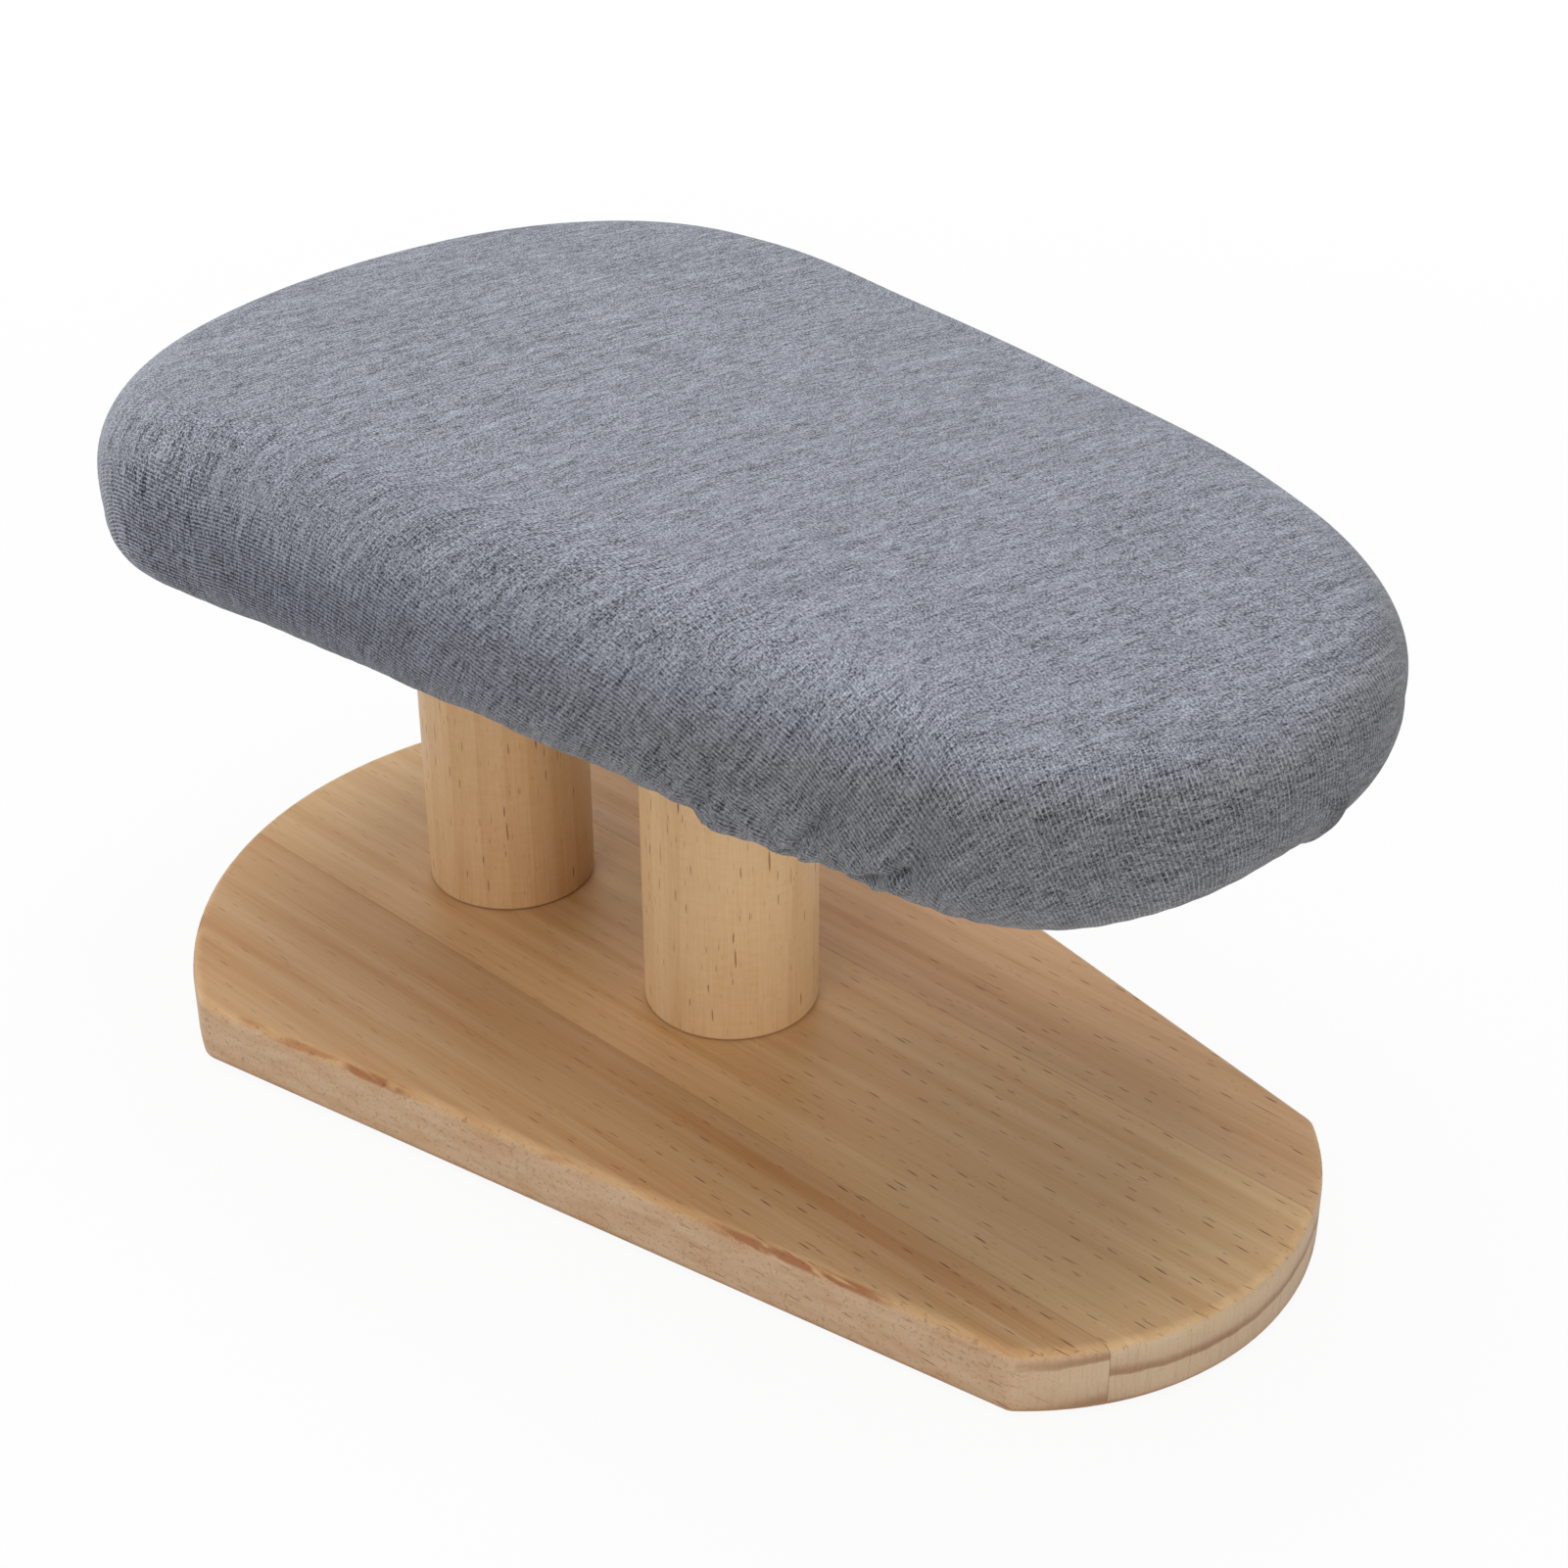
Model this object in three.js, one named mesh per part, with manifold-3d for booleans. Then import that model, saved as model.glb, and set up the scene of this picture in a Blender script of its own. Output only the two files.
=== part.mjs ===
// Tabletop ironing board: a padded, cloth-covered top on two round posts above a tapered pine base.
// Millimetres, +Z up, +X towards the narrow nose, +Y towards the rear side.
// The origin is the middle of the base's underside, on the table.

import * as THREE from 'three';
import { mergeVertices } from 'three/addons/utils/BufferGeometryUtils.js';
import Module from 'manifold-3d';

// Base panel: three pine staves glued edge to edge
const BASE_LENGTH = 289;
const BASE_WIDTH = 147; // at half length
const BASE_TAPER = 0.185; // half width lost per millimetre towards the nose
const BASE_TAIL_RADIUS = 100;
const BASE_NOSE_RADIUS = 67.5;
const BASE_CORNER = 4; // upright corners between the straight sides and the end arcs
const BASE_THICKNESS = 17;
const BASE_EDGE_ROUND = 3.4; // upper and lower edges alike
const FRONT_SEAM_Y = -36;
const REAR_SEAM_Y = 25;
const GLUE_LINE = 0.1;

// Posts: two plain dowels
const POST_DIAMETER = 40;
const POST_LENGTH = 100;
const POST_CHAMFER = 0.6;
const POST_SETBACK = 67.25; // axis of the rear post from the tail end of the pad
const POST_SPACING = 75.5;
const POST_Y = -2; // the posts stand a little in front of the centre line

// Wood screws: two up through the base, two down through the top board
const SCREW_SHANK = 4.5;
const SCREW_HEAD = 9;
const SCREW_LENGTH = 50;
const SCREW_TIP = 6;
const SCREW_RIM = 0.4; // straight edge of the head
const SCREW_SINK = 0.5; // head face below the wood
const DRIVE_LENGTH = 5; // cross recess in the head
const DRIVE_WIDTH = 1.1;
const DRIVE_DEPTH = 1.8;

// Top board inside the padding
const BOARD_THICKNESS = 17;
const BOARD_INSET = 8; // board edge inside the widest outline of the pad
const BOARD_EDGE_ROUND = 5;

// Pad outline at its widest level
const PAD_LENGTH = 292.5;
const PAD_WIDTH = 149; // at half length
const PAD_TAPER = 0.1;
const PAD_TAIL_RADIUS = 140;
const PAD_NOSE_RADIUS = 88.5;
const PAD_TAIL_CORNER = 34;
const PAD_NOSE_CORNER = 40;

// Pad section, heights above the underside of the top board at half length
const PAD_RIM_RISE = 47; // inner end of the rounded shoulder
const PAD_SHOULDER_RISE = 22.3; // where the upright side turns into the shoulder
const PAD_SHOULDER_REACH = 12;
const PAD_RIM_TAIL_CORNER = 62; // the cloth draws the upper corners rounder than the lower ones
const PAD_RIM_NOSE_CORNER = 38;
const PAD_CROWN = 2.5; // middle of the top above its rim
const PAD_NOSE_FALL = 18; // rim lower at the nose than at half length
const PAD_TAIL_FALL = 9.6;
const PAD_SIDE_FALL_SHARE = 1 / 3; // how much of the fall the foot of the shoulder follows
const PAD_TUCK_REACH = 12; // lower edge, rounded in under the board
const PAD_TUCK_HEIGHT = 14;
const PADDING_TUCK_SHARE = 0.5; // how far round the lower edge the padding goes

// Cover: knitted cloth, gathered under the board by an elastic in its hem
const CLOTH = 1.2;
const HEM_INSET = 34;
const HEM_DEPTH = 10; // turned-back flap of the hem
const HEM_SLIT = 0.4;
const PLEAT_INSET = 17;
const PLEAT_DEPTH = 1.2;
const ELASTIC_DIAMETER = 3;

// Fits and mesh resolution
const FIT = 0.3;
const SMALLEST_CORNER = 0.3;
const HEM_CORNER = 4; // least corner radius of the cloth under the board
const SMALLEST_SPINE = 2;
const ROUND_STEPS = 4; // each quarter turn of a rounded edge
const CROWN_STEPS = 3;
const ELASTIC_SIDES = 6;
const TURNED_SIDES = 72;
const SCREW_SIDES = 24;
const BASE_STEPS = { nose: 12, corner: 3, side: 1, tail: 16 };
const PAD_STEPS = { nose: 3, corner: 3, side: 3, tail: 4 };
const MERGE_TOLERANCE = 1e-4;
const QUARTER = Math.PI / 2;

// Levels and outlines that follow from the sizes above
const REAR_POST_X = POST_SETBACK - PAD_LENGTH / 2;
const POST_X = { rear: REAR_POST_X, front: REAR_POST_X + POST_SPACING };
const BOARD_BOTTOM = BASE_THICKNESS + POST_LENGTH;
const BOARD_TOP = BOARD_BOTTOM + BOARD_THICKNESS;
const CLOTH_BOTTOM = BOARD_BOTTOM - FIT - CLOTH;
const PADDING_DEPTH = CLOTH + FIT;
const HEM_CHANNEL = ELASTIC_DIAMETER / 2 + FIT;
const HEM_CENTRE = CLOTH_BOTTOM - HEM_CHANNEL;
const BASE_OVAL = {
  length: BASE_LENGTH,
  width: BASE_WIDTH,
  taper: BASE_TAPER,
  tailRadius: BASE_TAIL_RADIUS,
  noseRadius: BASE_NOSE_RADIUS,
};
const PAD_OVAL = {
  length: PAD_LENGTH,
  width: PAD_WIDTH,
  taper: PAD_TAPER,
  tailRadius: PAD_TAIL_RADIUS,
  noseRadius: PAD_NOSE_RADIUS,
};
const PAD_CORNERS = { nose: PAD_NOSE_CORNER, tail: PAD_TAIL_CORNER };
const ROUND_ANGLES = Array.from({ length: ROUND_STEPS + 1 }, (_, i) => QUARTER * i / ROUND_STEPS);
const CROWN_SHARES = Array.from({ length: CROWN_STEPS - 1 }, (_, i) => (i + 1) / CROWN_STEPS);

const wasm = await Module();
wasm.setup();

// A closed geometry as a solid that can be cut and joined
function solidOf(geometry) {
  const bare = geometry.clone();
  bare.deleteAttribute('normal');
  bare.deleteAttribute('uv');
  const merged = mergeVertices(bare, MERGE_TOLERANCE);
  return new wasm.Manifold(new wasm.Mesh({
    numProp: 3,
    vertProperties: new Float32Array(merged.attributes.position.array),
    triVerts: new Uint32Array(merged.index.array),
  }));
}

function geometryOf(solid) {
  const mesh = solid.getMesh();
  const geometry = new THREE.BufferGeometry();
  geometry.setAttribute('position', new THREE.BufferAttribute(mesh.vertProperties, 3));
  geometry.setIndex(new THREE.BufferAttribute(mesh.triVerts, 1));
  geometry.computeVertexNormals();
  return geometry;
}

// Where an inset side line meets an inset end arc; end is +1 at the nose and -1 at the tail
function cornerCentre(oval, inset, end) {
  const radius = end > 0 ? oval.noseRadius : oval.tailRadius;
  const centre = end * (oval.length / 2 - radius);
  const half = oval.width / 2 - inset * Math.hypot(1, oval.taper);
  const a = 1 + oval.taper ** 2;
  const b = centre + half * oval.taper;
  const c = centre ** 2 + half ** 2 - (radius - inset) ** 2;
  const x = (b + end * Math.sqrt(Math.max(b * b - a * c, 0))) / a;
  return { x, y: half - oval.taper * x, centre, radius };
}

// A corner radius may not take up more than the half width that is left inside the inset
function cornerLimit(oval, inset, end, corner) {
  const half = oval.width / 2 - end * oval.taper * oval.length / 4;
  const room = half / Math.hypot(1, oval.taper) - inset - SMALLEST_SPINE;
  return Math.max(Math.min(corner, room), SMALLEST_CORNER);
}

// Points of an arc, each with the outward normal that it has in plan
function arcPoints(centreX, centreY, radius, from, to, steps) {
  return Array.from({ length: steps + 1 }, (_, i) => {
    const angle = from + (to - from) * i / steps;
    const nx = Math.cos(angle);
    const ny = Math.sin(angle);
    return { x: centreX + radius * nx, y: centreY + radius * ny, nx, ny };
  });
}

// Plan of a tapered oval inside its sharp outline: nose arc, corner, straight side, corner, tail arc,
// and the same mirrored, counter-clockwise from the nose
function ovalRing(oval, inset, corners, steps) {
  const noseCorner = cornerLimit(oval, inset, 1, corners.nose);
  const tailCorner = cornerLimit(oval, inset, -1, corners.tail);
  const nose = cornerCentre(oval, inset + noseCorner, 1);
  const tail = cornerCentre(oval, inset + tailCorner, -1);
  const sideAngle = Math.atan2(1, oval.taper);
  const noseAngle = Math.atan2(nose.y, nose.x - nose.centre);
  const tailAngle = Math.atan2(tail.y, tail.x - tail.centre);
  const runs = [
    arcPoints(nose.centre, 0, nose.radius - inset, 0, noseAngle, steps.nose),
    arcPoints(nose.x, nose.y, noseCorner, noseAngle, sideAngle, steps.corner),
    arcPoints(tail.x, tail.y, tailCorner, sideAngle, tailAngle, steps.corner),
    arcPoints(tail.centre, 0, tail.radius - inset, tailAngle, Math.PI, steps.tail),
  ];
  const sideStart = runs[1].at(-1);
  const sideEnd = runs[2][0];
  const side = Array.from({ length: steps.side - 1 }, (_, i) => {
    const share = (i + 1) / steps.side;
    const x = sideStart.x + (sideEnd.x - sideStart.x) * share;
    const y = sideStart.y + (sideEnd.y - sideStart.y) * share;
    return { ...sideStart, x, y };
  });
  const half = [
    ...runs[0],
    ...runs[1].slice(1),
    ...side,
    ...runs[2],
    ...runs[3].slice(1),
  ];
  const mirrored = half.slice(1, -1).reverse().map((point) => ({ ...point, y: -point.y, ny: -point.ny }));
  return [...half, ...mirrored];
}

function raise(plan, height) {
  return plan.map(({ x, y }) => [x, y, height]);
}

// Skin over a stack of rings from top to bottom; a ring of one point closes that end.
// Each four-sided face is split along its shorter diagonal, so that the two faces of a cloth split alike.
function loft(rings, loop = false) {
  const points = rings.flat();
  const index = [];
  const distance = (i, k) => Math.hypot(...points[i].map((value, axis) => value - points[k][axis]));
  const addFace = (upper, lower, lowerNext, upperNext) => {
    if (upper === upperNext) index.push(upper, lower, lowerNext);
    else if (lower === lowerNext) index.push(upper, lower, upperNext);
    else if (distance(upper, lowerNext) < distance(lower, upperNext)) {
      index.push(upper, lower, lowerNext, upper, lowerNext, upperNext);
    } else {
      index.push(upper, lower, upperNext, lower, lowerNext, upperNext);
    }
  };
  const count = Math.max(...rings.map((ring) => ring.length));
  const bands = loop ? rings.length : rings.length - 1;
  let start = 0;
  for (let band = 0; band < bands; band += 1) {
    const upper = rings[band];
    const lower = rings[(band + 1) % rings.length];
    const lowerStart = band + 1 < rings.length ? start + upper.length : 0;
    for (let i = 0; i < count; i += 1) {
      const next = (i + 1) % count;
      addFace(
        start + i % upper.length,
        lowerStart + i % lower.length,
        lowerStart + next % lower.length,
        start + next % upper.length,
      );
    }
    start = lowerStart;
  }
  const geometry = new THREE.BufferGeometry();
  geometry.setAttribute('position', new THREE.Float32BufferAttribute(points.flat(), 3));
  geometry.setIndex(index);
  geometry.computeVertexNormals();
  return geometry;
}

// Corner radii after moving an outline in by a distance
function shrunk(corners, distance, least) {
  return {
    nose: Math.max(corners.nose - distance, least),
    tail: Math.max(corners.tail - distance, least),
  };
}

// A flat panel: oval outline with its upper and lower edges rounded
function panel(oval, inset, corners, bottom, thickness, edgeRound, steps) {
  const row = (extra, z) => {
    const left = shrunk(corners, inset + extra, SMALLEST_CORNER);
    return raise(ovalRing(oval, inset + extra, left, steps), z);
  };
  const upper = ROUND_ANGLES.toReversed().map((angle) => {
    return row(edgeRound * (1 - Math.cos(angle)), bottom + thickness - edgeRound * (1 - Math.sin(angle)));
  });
  const lower = ROUND_ANGLES.map((angle) => {
    return row(edgeRound * (1 - Math.cos(angle)), bottom + edgeRound * (1 - Math.sin(angle)));
  });
  return loft([[[0, 0, bottom + thickness]], ...upper, ...lower, [[0, 0, bottom]]]);
}

// Countersunk wood screw along -Z with its head face at z = 0.
// Grown by a fit and with a mouth above the head, the same profile is the screw's hole.
function screwProfile(grow, mouth) {
  const head = SCREW_HEAD / 2 + grow;
  const shank = SCREW_SHANK / 2 + grow;
  return [
    [0, -SCREW_LENGTH - grow],
    [shank, -SCREW_LENGTH + SCREW_TIP],
    [shank, -SCREW_RIM - (head - shank)],
    [head, -SCREW_RIM],
    [head, mouth],
    [0, mouth],
  ];
}

// A profile of radius and height, from its foot up, turned about the Z axis
function turned(profile, sides) {
  const points = profile.map(([radius, height]) => new THREE.Vector2(radius, height));
  return new THREE.LatheGeometry(points, sides).rotateX(QUARTER);
}

function screw() {
  const body = solidOf(turned(screwProfile(0, 0), SCREW_SIDES));
  const slot = new THREE.BoxGeometry(DRIVE_LENGTH, DRIVE_WIDTH, 2 * DRIVE_DEPTH);
  const crossing = slot.clone().rotateZ(QUARTER);
  return body.subtract(solidOf(slot)).subtract(solidOf(crossing));
}

// The four screws: under the base they point up, in the top board they point down
function screwPlaces() {
  const places = [];
  for (const [end, x] of Object.entries(POST_X)) {
    places.push({ name: `base_screw_${end}`, x, z: SCREW_SINK, up: true });
    places.push({ name: `top_screw_${end}`, x, z: BOARD_TOP - SCREW_SINK, up: false });
  }
  return places;
}

function placeScrew(solid, place) {
  const facing = place.up ? solid.mirror([0, 0, 1]) : solid;
  return facing.translate([place.x, POST_Y, place.z]);
}

const SCREW_PLACES = screwPlaces();
const SCREW_HOLES = SCREW_PLACES.map((place) => {
  return placeScrew(solidOf(turned(screwProfile(FIT, SCREW_SINK + FIT), SCREW_SIDES)), place);
});

function drilled(solid) {
  return SCREW_HOLES.reduce((rest, hole) => rest.subtract(hole), solid);
}

// Base
function baseStaves() {
  const corners = { nose: BASE_CORNER, tail: BASE_CORNER };
  const plate = drilled(solidOf(panel(
    BASE_OVAL, 0, corners, 0, BASE_THICKNESS, BASE_EDGE_ROUND, BASE_STEPS,
  )));
  const edge = BASE_LENGTH; // well past the outline
  const cuts = {
    base_front_stave: [-edge, FRONT_SEAM_Y - GLUE_LINE / 2],
    base_middle_stave: [FRONT_SEAM_Y + GLUE_LINE / 2, REAR_SEAM_Y - GLUE_LINE / 2],
    base_rear_stave: [REAR_SEAM_Y + GLUE_LINE / 2, edge],
  };
  return Object.entries(cuts).map(([name, [from, to]]) => {
    const blank = new THREE.BoxGeometry(2 * edge, to - from, 2 * edge);
    blank.translate(0, (from + to) / 2, 0);
    return [name, plate.intersect(solidOf(blank))];
  });
}

// Posts
function post(x) {
  const radius = POST_DIAMETER / 2;
  const profile = [
    [0, 0],
    [radius - POST_CHAMFER, 0],
    [radius, POST_CHAMFER],
    [radius, POST_LENGTH - POST_CHAMFER],
    [radius - POST_CHAMFER, POST_LENGTH],
    [0, POST_LENGTH],
  ];
  return drilled(solidOf(turned(profile, TURNED_SIDES).translate(x, POST_Y, BASE_THICKNESS)));
}

// Top board
function boardShape(grow) {
  return solidOf(panel(
    PAD_OVAL, BOARD_INSET - grow, PAD_CORNERS, BOARD_BOTTOM - grow, BOARD_THICKNESS + 2 * grow,
    BOARD_EDGE_ROUND + grow, PAD_STEPS,
  ));
}

// How far the rim has come down towards an end of the pad
function endFall(x) {
  const fall = x > 0 ? PAD_NOSE_FALL : PAD_TAIL_FALL;
  return fall * (2 * x / PAD_LENGTH) ** 2;
}

// One row of the pad's skin, moved in by depth along the section's normal
function skinRow(inset, corners, height, normal, depth) {
  const length = Math.hypot(normal.out, normal.up);
  const out = normal.out / length;
  const up = normal.up / length;
  return ovalRing(PAD_OVAL, inset, corners, PAD_STEPS).map(({ x, y, nx, ny }) => {
    return [x - depth * out * nx, y - depth * out * ny, height(x) - depth * up];
  });
}

function rimRow(depth) {
  const corners = { nose: PAD_RIM_NOSE_CORNER, tail: PAD_RIM_TAIL_CORNER };
  const height = (x) => BOARD_BOTTOM + PAD_RIM_RISE - endFall(x);
  return skinRow(PAD_SHOULDER_REACH, corners, height, { out: 0, up: 1 }, depth);
}

// The crowned top: the rim drawn in towards the middle and lifted
function crownRow(share, depth) {
  return rimRow(depth).map(([x, y]) => {
    const lift = PAD_CROWN * (1 - share ** 2);
    return [x * share, y * share, BOARD_BOTTOM + PAD_RIM_RISE - endFall(x * share) + lift - depth];
  });
}

function shoulderRow(angle, depth) {
  const share = 1 - Math.cos(angle);
  const corners = {
    nose: PAD_NOSE_CORNER + share * (PAD_RIM_NOSE_CORNER - PAD_NOSE_CORNER),
    tail: PAD_TAIL_CORNER + share * (PAD_RIM_TAIL_CORNER - PAD_TAIL_CORNER),
  };
  const height = (x) => {
    const foot = BOARD_BOTTOM + PAD_SHOULDER_RISE - PAD_SIDE_FALL_SHARE * endFall(x);
    const rim = BOARD_BOTTOM + PAD_RIM_RISE - endFall(x);
    return foot + (rim - foot) * Math.sin(angle);
  };
  const normal = {
    out: Math.cos(angle) / PAD_SHOULDER_REACH,
    up: Math.sin(angle) / (PAD_RIM_RISE - PAD_SHOULDER_RISE),
  };
  return skinRow(share * PAD_SHOULDER_REACH, corners, height, normal, depth);
}

function tuckRow(angle, depth) {
  const inset = PAD_TUCK_REACH * (1 - Math.cos(angle));
  const height = () => CLOTH_BOTTOM + PAD_TUCK_HEIGHT * (1 - Math.sin(angle));
  const normal = { out: Math.cos(angle) / PAD_TUCK_REACH, up: -Math.sin(angle) / PAD_TUCK_HEIGHT };
  return skinRow(inset, shrunk(PAD_CORNERS, inset, HEM_CORNER), height, normal, depth);
}

// Skin from the middle of the top down to the tuck angles given
function skinRows(depth, tuckAngles) {
  return [
    [[0, 0, BOARD_BOTTOM + PAD_RIM_RISE + PAD_CROWN - depth]],
    ...CROWN_SHARES.map((share) => crownRow(share, depth)),
    rimRow(depth),
    ...ROUND_ANGLES.toReversed().slice(1).map((angle) => shoulderRow(angle, depth)),
    ...tuckAngles.map((angle) => tuckRow(angle, depth)),
  ];
}

// Padding: a crowned foam cap that wraps the edge of the board
function padding() {
  const wrap = ROUND_ANGLES.filter((angle) => angle <= PADDING_TUCK_SHARE * QUARTER);
  const rows = skinRows(PADDING_DEPTH, wrap);
  const [, , skirt] = rows.at(-1)[0];
  return solidOf(loft([...rows, [[0, 0, skirt]]])).subtract(boardShape(FIT));
}

// Plan of the cloth and the elastic under the board
function hemPlan(inset) {
  return ovalRing(PAD_OVAL, inset, shrunk(PAD_CORNERS, inset, HEM_CORNER), PAD_STEPS);
}

// A row of points round the elastic's centre line; the angle runs from its top towards the middle of the board
function hemLoop(radius, angle) {
  const plan = hemPlan(HEM_INSET);
  const reach = radius * Math.sin(angle);
  const height = HEM_CENTRE + radius * Math.cos(angle);
  return plan.map(({ x, y, nx, ny }) => [x - reach * nx, y - reach * ny, height]);
}

// Cover: the skin, its gathered part under the board and the hem turned round the elastic.
// side is +1 on the outer face of the cloth and -1 on the inner face.
function hemRows(side) {
  const radius = side > 0 ? HEM_CHANNEL : HEM_CHANNEL + CLOTH;
  const flat = HEM_CENTRE + radius;
  const flapLift = side > 0 ? 0 : CLOTH;
  const turn = Array.from({ length: ELASTIC_SIDES / 2 + 1 }, (_, i) => {
    const angle = 2 * Math.PI * i / ELASTIC_SIDES;
    return hemLoop(radius, angle);
  });
  return [
    raise(hemPlan(PLEAT_INSET), flat).map(([x, y, z], i) => [x, y, z - (i % 2) * PLEAT_DEPTH]),
    raise(hemPlan(HEM_INSET - HEM_DEPTH), flat),
    ...turn,
    raise(hemPlan(HEM_INSET - HEM_DEPTH), CLOTH_BOTTOM - HEM_SLIT - flapLift),
  ];
}

function cover() {
  const outer = [...skinRows(0, ROUND_ANGLES), ...hemRows(1)];
  const inner = [...skinRows(CLOTH, ROUND_ANGLES), ...hemRows(-1)];
  return loft([...outer, ...inner.reverse()]);
}

// Elastic cord lying in the hem all the way round
function hemElastic() {
  const rings = Array.from({ length: ELASTIC_SIDES }, (_, i) => {
    return hemLoop(ELASTIC_DIAMETER / 2, -2 * Math.PI * i / ELASTIC_SIDES);
  });
  return loft(rings, true);
}

// Finishes
const FINISH = {
  pine: { color: 0xc9a277, roughness: 0.6, metalness: 0 },
  pineMiddle: { color: 0xc49b6f, roughness: 0.6, metalness: 0 },
  dowel: { color: 0xd9b283, roughness: 0.55, metalness: 0 },
  plywood: { color: 0xd2b48c, roughness: 0.7, metalness: 0 },
  steel: { color: 0xb9bcc0, roughness: 0.35, metalness: 1 },
  foam: { color: 0xeae4d2, roughness: 0.95, metalness: 0 },
  knit: { color: 0x6f7889, roughness: 0.9, metalness: 0 },
  elastic: { color: 0xe6e6e2, roughness: 0.8, metalness: 0 },
};

function piece(name, geometry, finish) {
  const mesh = new THREE.Mesh(geometry, new THREE.MeshStandardMaterial(FINISH[finish]));
  mesh.name = name;
  return mesh;
}

const base = new THREE.Group();
for (const [name, stave] of baseStaves()) {
  base.add(piece(name, geometryOf(stave), name === 'base_middle_stave' ? 'pineMiddle' : 'pine'));
}

const stand = new THREE.Group();
for (const [end, x] of Object.entries(POST_X)) {
  stand.add(piece(`${end}_post`, geometryOf(post(x)), 'dowel'));
}

const fasteners = new THREE.Group();
for (const place of SCREW_PLACES) {
  fasteners.add(piece(place.name, geometryOf(placeScrew(screw(), place)), 'steel'));
}

const pad = new THREE.Group();
pad.add(
  piece('top_board', geometryOf(drilled(boardShape(0))), 'plywood'),
  piece('padding', geometryOf(padding()), 'foam'),
  piece('cover', cover(), 'knit'),
  piece('hem_elastic', hemElastic(), 'elastic'),
);

const ironingBoard = new THREE.Group();
ironingBoard.add(base, stand, fasteners, pad);

export default ironingBoard;
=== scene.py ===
# %% [markdown]
# # A small tabletop ironing board
# A padded top with a knitted cover stands on two round posts and a tapered pine base. The imported model is loaded
# first as a fixed frame, so that every piece can be placed by its sizes alone. The finished pieces have to stay
# inside it.

# %% Load the frame
import math

import bmesh
import bpy
import numpy as np
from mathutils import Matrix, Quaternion, Vector
from numpy.linalg import norm


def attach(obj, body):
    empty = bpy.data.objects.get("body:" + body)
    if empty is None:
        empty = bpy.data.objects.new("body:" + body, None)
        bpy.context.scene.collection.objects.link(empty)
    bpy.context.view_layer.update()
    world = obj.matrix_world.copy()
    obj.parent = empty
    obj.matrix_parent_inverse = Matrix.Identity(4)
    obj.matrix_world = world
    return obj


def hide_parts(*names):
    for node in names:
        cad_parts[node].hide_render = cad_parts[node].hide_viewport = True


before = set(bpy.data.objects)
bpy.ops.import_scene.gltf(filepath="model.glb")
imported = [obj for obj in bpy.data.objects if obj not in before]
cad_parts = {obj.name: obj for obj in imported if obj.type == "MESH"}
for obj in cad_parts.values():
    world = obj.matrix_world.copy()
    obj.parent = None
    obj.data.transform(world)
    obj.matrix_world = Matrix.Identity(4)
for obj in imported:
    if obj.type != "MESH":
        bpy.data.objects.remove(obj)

MM = 0.001
ops, scene = bpy.ops, bpy.context.scene
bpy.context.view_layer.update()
ops.object.select_all(action="DESELECT")
print("frame nodes:", ", ".join(sorted(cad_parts)))

# %% [markdown]
# ## Camera
# The camera stands where the picture was taken from: in front of the nose's side and about 32 degrees above the
# table. Its place came from matching the base's outline and the posts, so its direction is written as a vector.

# %% Camera
CAMERA_PLACE = Vector((380.22, -385.62, 408.70)) * MM
CAMERA_FORWARD = Vector((-0.58758, 0.61430, -0.52667))
CAMERA_ROLL = math.radians(-0.129)
CAMERA_LENS, CAMERA_SENSOR, CLIP_START = 66.41, 36.0, 0.01


def linked(name, data):
    """A new object for some data, in the scene."""
    data.name = name
    obj = bpy.data.objects.new(name, data)
    scene.collection.objects.link(obj)
    return obj


def aimed(name, data, place, direction, roll=0.0):
    """A camera or a lamp at a place, looking in a direction."""
    obj = linked(name, data)
    obj.location = place
    obj.rotation_mode = "QUATERNION"
    obj.rotation_quaternion = direction.to_track_quat("-Z", "Y") @ Quaternion((0, 0, 1), roll)
    return obj


camera_data = bpy.data.cameras.new("camera")
camera_data.lens = CAMERA_LENS
camera_data.sensor_width = CAMERA_SENSOR
camera_data.clip_start = CLIP_START
scene.camera = aimed("camera", camera_data, CAMERA_PLACE, CAMERA_FORWARD, CAMERA_ROLL)
print("camera lens", CAMERA_LENS, "mm at", tuple(round(v, 3) for v in CAMERA_PLACE))

# %% [markdown]
# ## Shader maths
# A material is a tree of nodes. Written out by hand, each sum needs several lines, so one small class wraps a
# socket: its operators add Math nodes, and its `node` method adds any other node with its settings and sockets.

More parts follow.
